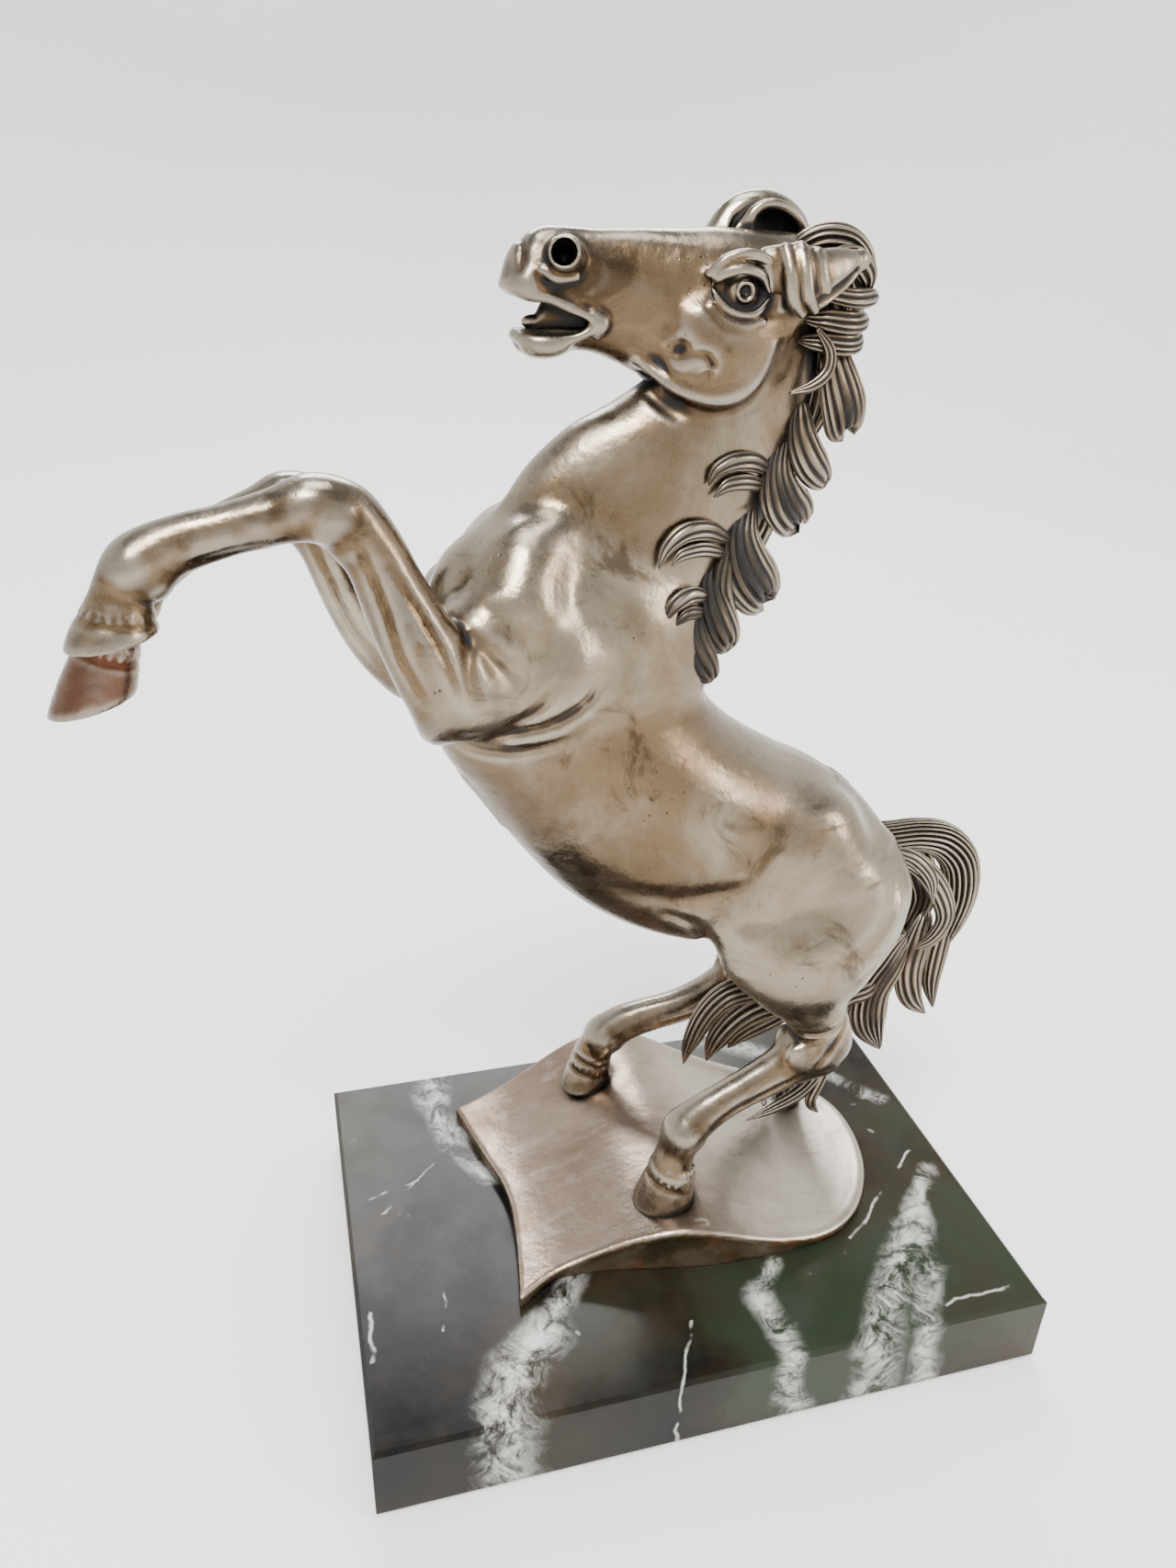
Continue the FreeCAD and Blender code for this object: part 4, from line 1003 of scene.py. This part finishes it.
def ground_marks(clay):
    """A blank oval pad on the front lip and a small dent at the back of the bowl."""
    pad = ground_height(1.2, -33.2)
    clay.lump((1.2, pad - 0.1, -33.2), (2.6, 0.5, 1.3), 0, soft=0.5)
    for x in (0.2, 2.2):
        clay.lump((x, pad + 0.45, -33.2), (0.55, 0.35, 0.5), 0, soft=0.3, cut=True)
    clay.lump((50.0, ground_height(50, 24) - 0.2, 24.0), (4.2, 0.8, 1.6), 30, soft=1.2, cut=True)


# ------------------------------------------------------------------ felt
def make_felt():
    """Felt glued under the marble: soft edges and an uneven, fibrous thickness."""
    low, high = mm_box("felt_pad")
    size = high - low
    columns, rows = 98, 68
    u = np.linspace(-1, 1, columns + 1)
    v = np.linspace(-1, 1, rows + 1)
    gu, gv = np.meshgrid(u, v, indexing="ij")
    corner = 1 - 0.012 * (np.abs(gu) * np.abs(gv)) ** 24
    waver = 0.0016 * np.sin(23 * gu + 9 * gv) * (np.maximum(np.abs(gu), np.abs(gv)) > 0.99)
    px = (low[0] + high[0]) / 2 + gu * size[0] / 2 * (corner + waver - 0.0016)
    py = (low[1] + high[1]) / 2 + gv * size[1] / 2 * (corner + waver - 0.0016)
    edge = np.minimum(1 - np.abs(gu), (1 - np.abs(gv)) * size[1] / size[0]) * size[0] / 2
    soft = 0.4 * np.exp(-(edge / 0.9) ** 2)
    lumps = 0.05 * np.sin(17 * gu * 6) * np.sin(13 * gv * 5 + 2 * gu) + 0.05
    upper = np.stack([px, py, np.full(px.shape, high[2] - 0.02) - soft], -1).reshape(-1, 3)
    lower = np.stack([px, py, low[2] + soft + lumps], -1).reshape(-1, 3)
    points = np.vstack([upper, lower])
    index = np.arange((columns + 1) * (rows + 1)).reshape(columns + 1, rows + 1)
    a, b, c, d = (part.ravel() for part in
                  (index[:-1, :-1], index[1:, :-1], index[1:, 1:], index[:-1, 1:]))
    below = len(upper)
    faces = np.vstack([np.stack([a, b, c, d], 1), np.stack([d, c, b, a], 1) + below]).tolist()
    border = (index[:, 0].tolist() + index[-1, 1:].tolist() + index[-2::-1, -1].tolist()
              + index[0, -2:0:-1].tolist())
    for here, after in zip(border, border[1:] + border[:1]):
        faces.append([after, here, here + below, after + below])
    piece = new_piece("felt_sheet", points, faces)
    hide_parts("felt_pad")
    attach(piece, "root")
    return piece


# ------------------------------------------------------------------ camera, light, floor
def make_camera():
    data = bpy.data.cameras.new("view")
    data.lens = 26.24
    camera = bpy.data.objects.new("view", data)
    right, up, back = ((0.9651, -0.2601, 0.0299), (0.0906, 0.4389, 0.8939),
                       (-0.2457, -0.8600, 0.4472))
    turn = Matrix((right, up, back)).transposed()
    camera.matrix_world = Matrix.Translation((-0.1027, -0.2603, 0.3120)) @ turn.to_4x4()
    bpy.context.scene.collection.objects.link(camera)
    bpy.context.scene.camera = camera


def area_light(name, place, target, size, power, colour):
    data = bpy.data.lights.new(name, "AREA")
    data.shape = "RECTANGLE"
    data.size, data.size_y = size
    data.energy = power
    data.color = colour
    light = bpy.data.objects.new(name, data)
    light.location = place
    light.rotation_euler = (Vector(target) - Vector(place)).to_track_quat("-Z", "Y").to_euler()
    bpy.context.scene.collection.objects.link(light)


def make_backdrop():
    """Pale paper floor that curves up all round, so that no horizon shows."""
    profile = [(0.0, 0.0), (1.3, 0.0), (1.7, 0.04), (2.1, 0.20), (2.4, 0.52), (2.55, 1.0),
               (2.6, 1.6), (2.6, 3.2)]
    curve = smooth_path(profile, 5)
    steps = 72
    points = [(r * math.cos(2 * math.pi * i / steps), r * math.sin(2 * math.pi * i / steps),
               max(z, 0.0)) for r, z in curve[1:] for i in range(steps)] + [(0.0, 0.0, 0.0)]
    faces = [(len(points) - 1, i, (i + 1) % steps) for i in range(steps)]
    for ring in range(len(curve) - 2):
        for i in range(steps):
            a, b = ring * steps + i, ring * steps + (i + 1) % steps
            faces.append((a, a + steps, b + steps, b))
    mesh = bpy.data.meshes.new("floor")
    mesh.from_pydata(points, [], faces)
    mesh.shade_smooth()
    floor = bpy.data.objects.new("floor", mesh)
    bpy.context.scene.collection.objects.link(floor)
    n = Nodes("floor_paper")
    n.link(n.mix(n.noise(3, 3, 0.5), (0.90, 0.90, 0.89), (0.94, 0.94, 0.93)),
           n.shader.inputs["Base Color"])
    n.shader.inputs["Roughness"].default_value = 0.95
    n.shader.inputs["Specular IOR Level"].default_value = 0.1
    mesh.materials.append(n.material)


def make_studio():
    middle = (0.0, 0.0, 0.17)
    area_light("key", (-0.5, -0.9, 1.7), middle, (0.7, 0.5), 52, (1.0, 0.98, 0.95))
    area_light("fill", (1.5, -0.9, 0.8), middle, (0.4, 0.9), 14, (1.0, 0.95, 0.9))
    area_light("back", (0.2, 1.5, 1.5), middle, (1.2, 0.7), 34, (0.97, 0.98, 1.0))
    area_light("top", (0.0, 0.0, 2.3), middle, (1.0, 1.0), 26, (1.0, 1.0, 1.0))
    world = bpy.data.worlds.new("studio")
    bpy.context.scene.world = world
    world.use_nodes = True
    world.node_tree.nodes["Background"].inputs[0].default_value = (0.8, 0.8, 0.8, 1)
    world.node_tree.nodes["Background"].inputs[1].default_value = 0.5
    make_backdrop()


# ------------------------------------------------------------------ materials
class Nodes:
    """Short way to build a material's node tree."""

    def __init__(self, name):
        self.material = bpy.data.materials.new(name)
        self.material.use_nodes = True
        self.tree = self.material.node_tree
        self.shader = self.tree.nodes["Principled BSDF"]

    def link(self, source, target):
        self.tree.links.new(source, target)

    def set(self, socket, value):
        if isinstance(value, bpy.types.NodeSocket):
            self.link(value, socket)
        elif isinstance(value, tuple) and len(value) == 3 and socket.type == "RGBA":
            socket.default_value = (*value, 1)
        else:
            socket.default_value = value

    def add(self, kind, inputs=(), **settings):
        node = self.tree.nodes.new("ShaderNode" + kind)
        for key, value in settings.items():
            setattr(node, key, value)
        for key, value in dict(inputs).items():
            self.set(node.inputs[key], value)
        return node

    def place(self, scale=(1, 1, 1), rotation=(0, 0, 0)):
        where = self.add("TexCoord").outputs["Object"]
        return self.add("Mapping", {"Vector": where, "Scale": scale,
                                    "Rotation": rotation}).outputs[0]

    def noise(self, scale, detail=4.0, rough=0.55, where=None, warp=0.0):
        spot = where or self.place()
        return self.add("TexNoise", {"Vector": spot, "Scale": scale, "Detail": detail,
                                     "Roughness": rough, "Distortion": warp}).outputs["Fac"]

    def spots(self, scale, where=None, feature="F1"):
        spot = where or self.place()
        return self.add("TexVoronoi", {"Vector": spot, "Scale": scale},
                        feature=feature).outputs["Distance"]

    def ramp(self, value, low, high, start=0.0, end=1.0):
        node = self.add("MapRange", {"Value": value, "From Min": low, "From Max": high,
                                     "To Min": start, "To Max": end})
        node.interpolation_type = "SMOOTHSTEP"
        return node.outputs[0]

    def maths(self, operation, a, b=0.0, clamp=False):
        return self.add("Math", {0: a, 1: b}, operation=operation, use_clamp=clamp).outputs[0]

    def mix(self, amount, a, b):
        node = self.add("Mix", data_type="RGBA")
        for socket, value in ((0, amount), (6, a), (7, b)):
            self.set(node.inputs[socket], value)
        return node.outputs[2]

    def layer(self, name):
        return self.add("Attribute", attribute_name=name).outputs["Fac"]

    def bump(self, height, distance, strength=1.0, below=None):
        inputs = {"Height": height, "Distance": distance, "Strength": strength}
        if below is not None:
            inputs["Normal"] = below
        return self.add("Bump", inputs).outputs[0]


SILVER = (0.255, 0.215, 0.160)
WARM_SILVER = (0.130, 0.085, 0.048)
# Bronze showing through worn silver, and also painted shade on faces turned down and in recesses.
BROWN_WEAR_AND_SHADE = (0.042, 0.025, 0.012)
# Near-black patina in pits and recesses, and also painted shade where a point is enclosed.
SHADE_AND_PATINA_BLACK = (0.006, 0.005, 0.005)
# Rubbed silver on proud parts, and also a painted highlight on faces turned up.
BRIGHT_RUB_AND_HIGHLIGHT = (0.40, 0.365, 0.305)


def bronze_material(name, hair):
    """Silver rubbed thin over bronze: bright where it stands proud, brown where worn,
    nearly black in the recesses, where patina and painted shade (from how enclosed a point
    is) meet. Faces turned up get a painted highlight, faces turned down get painted shade."""
    n = Nodes(name)
    hollow, enclosed = n.layer("hollow"), n.layer("enclosed")
    blotch = n.noise(30, 6, 0.62, warp=0.6)
    large = n.noise(12, 3, 0.5)
    split = n.add("SeparateXYZ", {"Vector": n.place()})
    along, height = split.outputs[0], split.outputs[2]
    handled = n.maths("MAXIMUM", n.ramp(along, -0.060, -0.095), n.ramp(height, 0.120, 0.085))
    muzzle_end = n.maths("MULTIPLY", n.ramp(along, 0.005, -0.03), n.ramp(height, 0.265, 0.275))
    wear = n.maths("MULTIPLY", n.maths("MAXIMUM", handled, muzzle_end), 0.13)
    warmth = n.maths("ADD", n.maths("MULTIPLY", blotch, 0.5), n.maths("MULTIPLY", large, 0.5))
    warmth = n.ramp(n.maths("ADD", warmth, wear), 0.42, 0.60)
    colour = n.mix(n.maths("MULTIPLY", warmth, 0.9), SILVER, WARM_SILVER)
    worn = n.ramp(n.maths("ADD", n.noise(48, 7, 0.68, warp=1.0), wear), 0.54, 0.68)
    colour = n.mix(n.maths("MULTIPLY", worn, 0.7), colour, BROWN_WEAR_AND_SHADE)
    far_hoof = n.maths("MULTIPLY", n.ramp(along, -0.132, -0.140), n.ramp(height, 0.226, 0.216))
    colour = n.mix(n.maths("MULTIPLY", far_hoof, n.ramp(blotch, 0.3, 0.5, 0.6, 0.95)), colour,
                   (0.075, 0.026, 0.014))
    # Faces turned up are lightened towards the rubbed silver: a painted highlight from the lamps
    # overhead.
    upward = n.add("SeparateXYZ", {"Vector": n.add("NewGeometry").outputs["Normal"]}).outputs[2]
    colour = n.mix(n.ramp(upward, 0.35, 0.95, 0.0, 0.4), colour, BRIGHT_RUB_AND_HIGHLIGHT)
    # Faces turned down are darkened to brown bronze: painted shade under the belly, neck and legs.
    underside_shade = n.maths("MULTIPLY", n.ramp(upward, 0.10, -0.75), n.ramp(blotch, 0.35, 0.6, 0.55, 1.0))
    colour = n.mix(n.maths("MULTIPLY", underside_shade, 0.9), colour, BROWN_WEAR_AND_SHADE)
    proud = n.ramp(hollow, -0.03, -0.16)
    colour = n.mix(n.maths("MULTIPLY", proud, 0.9 if hair else 0.45), colour, BRIGHT_RUB_AND_HIGHLIGHT)
    # Painted shade (ambient occlusion) from how enclosed each point is, together with the creases of the
    # hollow layer; it also stands for the dark patina of the recesses.
    reach = (0.45, 0.95) if hair else (0.10, 0.40)
    shade = n.ramp(enclosed, *reach)
    enclosed_shade = n.maths("MULTIPLY", shade, n.ramp(n.noise(120, 5, 0.6), 0.2, 0.62, 0.65, 1.0))
    crease = n.ramp(hollow, -0.03, 0.13) if hair else n.ramp(hollow, 0.06, 0.26)
    dark = n.maths("MAXIMUM", enclosed_shade, n.maths("MULTIPLY", crease, 0.95), clamp=True)
    colour = n.mix(n.ramp(dark, 0.0, 0.6, 0.0, 0.8), colour, BROWN_WEAR_AND_SHADE)
    colour = n.mix(n.ramp(dark, 0.35, 0.95), colour, SHADE_AND_PATINA_BLACK)
    pits = n.ramp(n.spots(520), 0.10, 0.20, 1.0, 0.0)
    where_pits = n.ramp(n.noise(52, 3, 0.6), 0.60, 0.70)
    pitted = n.maths("MULTIPLY", pits, where_pits)
    colour = n.mix(n.maths("MULTIPLY", pitted, 0.8), colour, SHADE_AND_PATINA_BLACK)
    n.link(colour, n.shader.inputs["Base Color"])
    n.link(n.ramp(dark, 0.3, 1.0, 1.0, 0.5), n.shader.inputs["Metallic"])
    rough = n.ramp(n.noise(90, 6, 0.7), 0.3, 0.7, 0.20, 0.36)
    rough = n.maths("ADD", rough, n.maths("MULTIPLY", dark, 0.25))
    n.link(rough, n.shader.inputs["Roughness"])
    brushed = n.noise(900, 3, 0.6, n.place((1.0, 0.25, 1.0), (0.4, 0.3, 0.2)))
    normal = n.bump(brushed, 0.00006, 0.4)
    normal = n.bump(n.noise(170, 4, 0.55), 0.0006, 0.4, normal)
    normal = n.bump(n.maths("SUBTRACT", 1.0, pitted), 0.0003, 0.5, normal)
    n.link(normal, n.shader.inputs["Normal"])
    return n.material


def ground_metal():
    """Plate casting: brushed pinkish tan, rubbed white towards the right, olive brown on
    its walls, darkened there as painted shade under the lip, and with painted shade where the horse
    encloses it."""
    n = Nodes("bronze_ground_rubbed")
    enclosed = n.layer("enclosed")
    split = n.add("SeparateXYZ", {"Vector": n.place()})
    blotch = n.noise(24, 6, 0.62, warp=0.7)
    colour = n.mix(n.ramp(blotch, 0.36, 0.64), (0.33, 0.250, 0.195), (0.20, 0.140, 0.100))
    right = n.maths("ADD", split.outputs[0], n.maths("MULTIPLY", n.noise(20, 5, 0.6), 0.05))
    colour = n.mix(n.ramp(right, 0.0, 0.075, 0.0, 0.8), colour, (0.50, 0.46, 0.40))
    brush = n.noise(130, 5, 0.7, n.place((0.22, 1.0, 1.0), (0, 0, 0.5)))
    colour = n.mix(n.ramp(brush, 0.5, 0.75, 0.0, 0.45), colour, (0.50, 0.45, 0.40))
    colour = n.mix(n.ramp(brush, 0.42, 0.25, 0.0, 0.6), colour, (0.20, 0.13, 0.10))
    # Steep walls under the lip get a dark olive brown: partly the wall's own tone, partly painted shade.
    shaped = n.add("NewGeometry").outputs["Normal"]
    upright = n.ramp(n.add("SeparateXYZ", {"Vector": shaped}).outputs[2], 0.62, 0.30)
    walls = n.mix(n.ramp(n.noise(60, 6, 0.65), 0.40, 0.62), (0.055, 0.042, 0.020),
                  (0.15, 0.11, 0.07))
    colour = n.mix(upright, colour, walls)
    rust = n.ramp(n.noise(75, 5, 0.6), 0.52, 0.66)
    colour = n.mix(n.maths("MULTIPLY", n.maths("MULTIPLY", rust, upright), 0.7), colour,
                   (0.16, 0.050, 0.022))
    # Painted shade (ambient occlusion) where the horse encloses the plate.
    enclosed_shade = n.ramp(enclosed, 0.06, 0.40)
    colour = n.mix(n.maths("MULTIPLY", enclosed_shade, 0.9), colour, SHADE_AND_PATINA_BLACK)
    n.link(colour, n.shader.inputs["Base Color"])
    n.link(n.maths("SUBTRACT", 1.0, n.maths("MULTIPLY", upright, 0.3)),
           n.shader.inputs["Metallic"])
    n.link(n.ramp(blotch, 0.3, 0.7, 0.26, 0.40), n.shader.inputs["Roughness"])
    normal = n.bump(brush, 0.0005, 0.3)
    n.link(n.bump(n.noise(90, 5, 0.6), 0.0010, 0.35, normal), n.shader.inputs["Normal"])
    return n.material


# Veins of the stone in plan: start, end (mm), half width (mm), strength, wispy or thin
VEINS = [
    ((-66, 72), (-68, 54), 9, 1.0, True), ((-68, 54), (-62, 36), 8, 1.0, True),
    ((-62, 36), (-54, 18), 5, 0.8, True), ((-34, -26), (-46, -45), 7, 0.9, True),
    ((-46, -45), (-58, -60), 10, 1.0, True), ((-58, -60), (-66, -72), 12, 1.0, True),
    ((92, -18), (75, -37), 5, 0.9, True), ((75, -37), (60, -55), 7, 1.0, True),
    ((60, -55), (38, -74), 8, 1.0, True), ((82, -30), (72, -51), 5, 0.8, True),
    ((72, -51), (58, -74), 6, 0.9, True), ((28, -37), (18, -48), 4, 0.8, True),
    ((18, -48), (19, -72), 6, 0.9, True), ((-94, 18), (-77, 19), 0.8, 0.8, False),
    ((-96, -28), (-99, -44), 0.8, 0.8, False), ((-74, -20), (-77, -40), 0.7, 0.6, False),
    ((-87, 8), (-80, 17), 0.6, 0.6, False), ((-80, 17), (-70, 25), 0.6, 0.6, False),
    ((56, -34), (96, -3), 0.8, 0.8, False), ((96, -60), (70, -66), 0.8, 0.7, False),
    ((-20, 66), (-40, 52), 4, 0.7, True), ((40, 66), (72, 44), 6, 0.9, True),
    ((72, 44), (96, 20), 4, 0.8, True), ((-8, -50), (-20, -72), 0.8, 0.7, False),
]


def streak(n, where, start, end, half_width):
    """1 along the segment from start to end in plan, fading to 0 at its half width."""
    (ax, ay), (bx, by) = [(x / 1000, y / 1000) for x, y in (start, end)]
    length = math.hypot(bx - ax, by - ay)
    unit = ((bx - ax) / length, (by - ay) / length, 0.0)
    offset = n.add("VectorMath", {0: where, 1: (ax, ay, 0.0)}, operation="SUBTRACT").outputs[0]
    along = n.add("VectorMath", {0: offset, 1: unit}, operation="DOT_PRODUCT").outputs["Value"]
    along = n.maths("MINIMUM", n.maths("MAXIMUM", along, 0.0), length)
    foot = n.add("VectorMath", {0: unit, "Scale": along}, operation="SCALE").outputs[0]
    gap = n.add("VectorMath", {0: offset, 1: foot}, operation="DISTANCE").outputs["Value"]
    return n.ramp(gap, 0.0, half_width / 1000, 1.0, 0.0)


def bend(n, source, scale, detail, amount):
    """Position moved about by noise, so that straight streaks wander."""
    warp = n.add("TexNoise", {"Vector": source, "Scale": scale, "Detail": detail})
    offset = n.add("VectorMath", {0: warp.outputs["Color"], 1: (0.5, 0.5, 0.5)},
                   operation="SUBTRACT").outputs[0]
    offset = n.add("VectorMath", {0: offset, "Scale": amount}, operation="SCALE").outputs[0]
    return n.add("VectorMath", {0: source, 1: offset}, operation="ADD").outputs[0]


def marble_material():
    """Near-black olive and brown stone, greyer green on its faces, with cloudy veins."""
    n = Nodes("black_marble_veined")
    where = bend(n, n.place(), 26.0, 6.0, 0.022)
    flat = n.add("VectorMath", {0: where, 1: (1.0, 1.0, 0.0)}, operation="MULTIPLY").outputs[0]
    tone = n.noise(14, 7, 0.62, where)
    colour = n.mix(n.ramp(tone, 0.36, 0.64), (0.004, 0.004, 0.004), (0.026, 0.018, 0.010))
    green = n.ramp(n.noise(10, 5, 0.55, where), 0.48, 0.66)
    colour = n.mix(green, colour, (0.018, 0.026, 0.016))
    wisp = n.ramp(n.noise(95, 9, 0.78, where, 0.8), 0.40, 0.62)
    broken = n.ramp(n.noise(70, 3, 0.6), 0.40, 0.52)
    white = 0.0
    for start, end, half_width, strength, cloudy in VEINS:
        mask = n.maths("MULTIPLY", streak(n, flat, start, end, half_width), strength)
        mask = n.maths("MULTIPLY", mask, wisp if cloudy else broken)
        white = n.maths("MAXIMUM", white, mask)
    specks = n.maths("MULTIPLY", n.ramp(n.spots(150, where), 0.10, 0.18, 1.0, 0.0),
                     n.ramp(n.noise(30, 4, 0.6), 0.60, 0.70))
    white = n.maths("MAXIMUM", white, n.maths("MULTIPLY", specks, 0.5), clamp=True)
    colour = n.mix(white, colour, (0.52, 0.53, 0.50))
    n.link(colour, n.shader.inputs["Base Color"])
    n.link(n.ramp(n.noise(70, 4, 0.6), 0.3, 0.7, 0.16, 0.26), n.shader.inputs["Roughness"])
    n.link(n.bump(n.noise(300, 4, 0.6), 0.00008, 0.25), n.shader.inputs["Normal"])
    n.shader.inputs["Specular IOR Level"].default_value = 0.16
    return n.material


def felt_material():
    """Black felt with fibres in two directions."""
    n = Nodes("black_felt_fibres")
    fibres = n.noise(1800, 6, 0.75, n.place((1, 0.35, 1), (0, 0, 0.6)))
    crossed = n.noise(1500, 6, 0.75, n.place((0.35, 1, 1), (0, 0, -0.4)))
    both = n.maths("MAXIMUM", fibres, crossed)
    colour = n.mix(n.ramp(both, 0.4, 0.75), (0.008, 0.008, 0.009), (0.045, 0.045, 0.048))
    n.link(n.mix(n.ramp(n.noise(60, 3, 0.6), 0.4, 0.7), colour, (0.02, 0.021, 0.02)),
           n.shader.inputs["Base Color"])
    n.link(n.ramp(both, 0.3, 0.8, 0.85, 1.0), n.shader.inputs["Roughness"])
    n.shader.inputs["Sheen Weight"].default_value = 0.3
    n.link(n.bump(both, 0.0004, 0.6), n.shader.inputs["Normal"])
    return n.material


def plain_metal(name, colour, rough):
    """Turned or cast metal of the fixings, unevenly darkened."""
    n = Nodes(name)
    darker = tuple(0.55 * part for part in colour)
    tone = n.ramp(n.noise(160, 5, 0.6), 0.35, 0.7)
    n.link(n.mix(tone, colour, darker), n.shader.inputs["Base Color"])
    n.shader.inputs["Metallic"].default_value = 1.0
    n.link(n.ramp(n.noise(300, 5, 0.7), 0.3, 0.7, rough - 0.06, rough + 0.12),
           n.shader.inputs["Roughness"])
    turned = n.noise(1400, 3, 0.6, n.place((1, 1, 0.1)))
    n.link(n.bump(turned, 0.00006, 0.4), n.shader.inputs["Normal"])
    return n.material


def frame_object(node):
    return bpy.data.objects[node]


def dress(piece, material):
    """Gives a piece one material in place of any that it has."""
    piece.data.materials.clear()
    piece.data.materials.append(material)


# ------------------------------------------------------------------ assembly
def finish_bronze(piece, node, material):
    """Shows a sculpted piece in place of its node of the frame."""
    piece.data.materials.append(material)
    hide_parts(node)
    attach(piece, "root")


def main():
    make_camera()
    make_studio()
    clays = sculpt_all()
    around = Surroundings((-170, -50, 15), (110, 60, 330))
    for clay in clays.values():
        around.add(clay)
    hair = grow_hair()
    for parts in hair.values():
        for part in parts:
            around.add_rod(part[3], 0.6)
    around.blur()
    bronze = bronze_material("silvered_bronze_worn", hair=False)
    tresses = bronze_material("silvered_bronze_hair", hair=True)
    made = castings(clays["body"], around, body_labels, BODY_NODES, "_metal", HEAD_SEAM_Z)
    made.update(castings(clays["head"], around, head_labels, ["head_casting"], "_metal",
                         HEAD_SEAM_Z))
    for node in clays:
        if node not in ("body", "head"):
            made.update(castings(clays[node], around, one_label, [node], "_metal"))
    for node, piece in made.items():
        finish_bronze(piece, node, bronze)
    for node, parts in hair.items():
        finish_bronze(hair_piece(node, parts, around), node, tresses)
    dress(made["ground_casting"], ground_metal())
    dress(make_felt(), felt_material())
    marble = marble_material()
    steel = plain_metal("zinc_plated_steel", (0.62, 0.63, 0.64), 0.34)
    rod = plain_metal("cast_bronze_rod", (0.72, 0.48, 0.25), 0.3)
    dress(frame_object("marble_base"), marble)
    for node in ("hoof_washers", "hoof_nuts", "base_screws", "base_washers"):
        dress(frame_object(node), steel)
    for node in ("joint_dowels", "hoof_studs"):
        dress(frame_object(node), rod)


main()
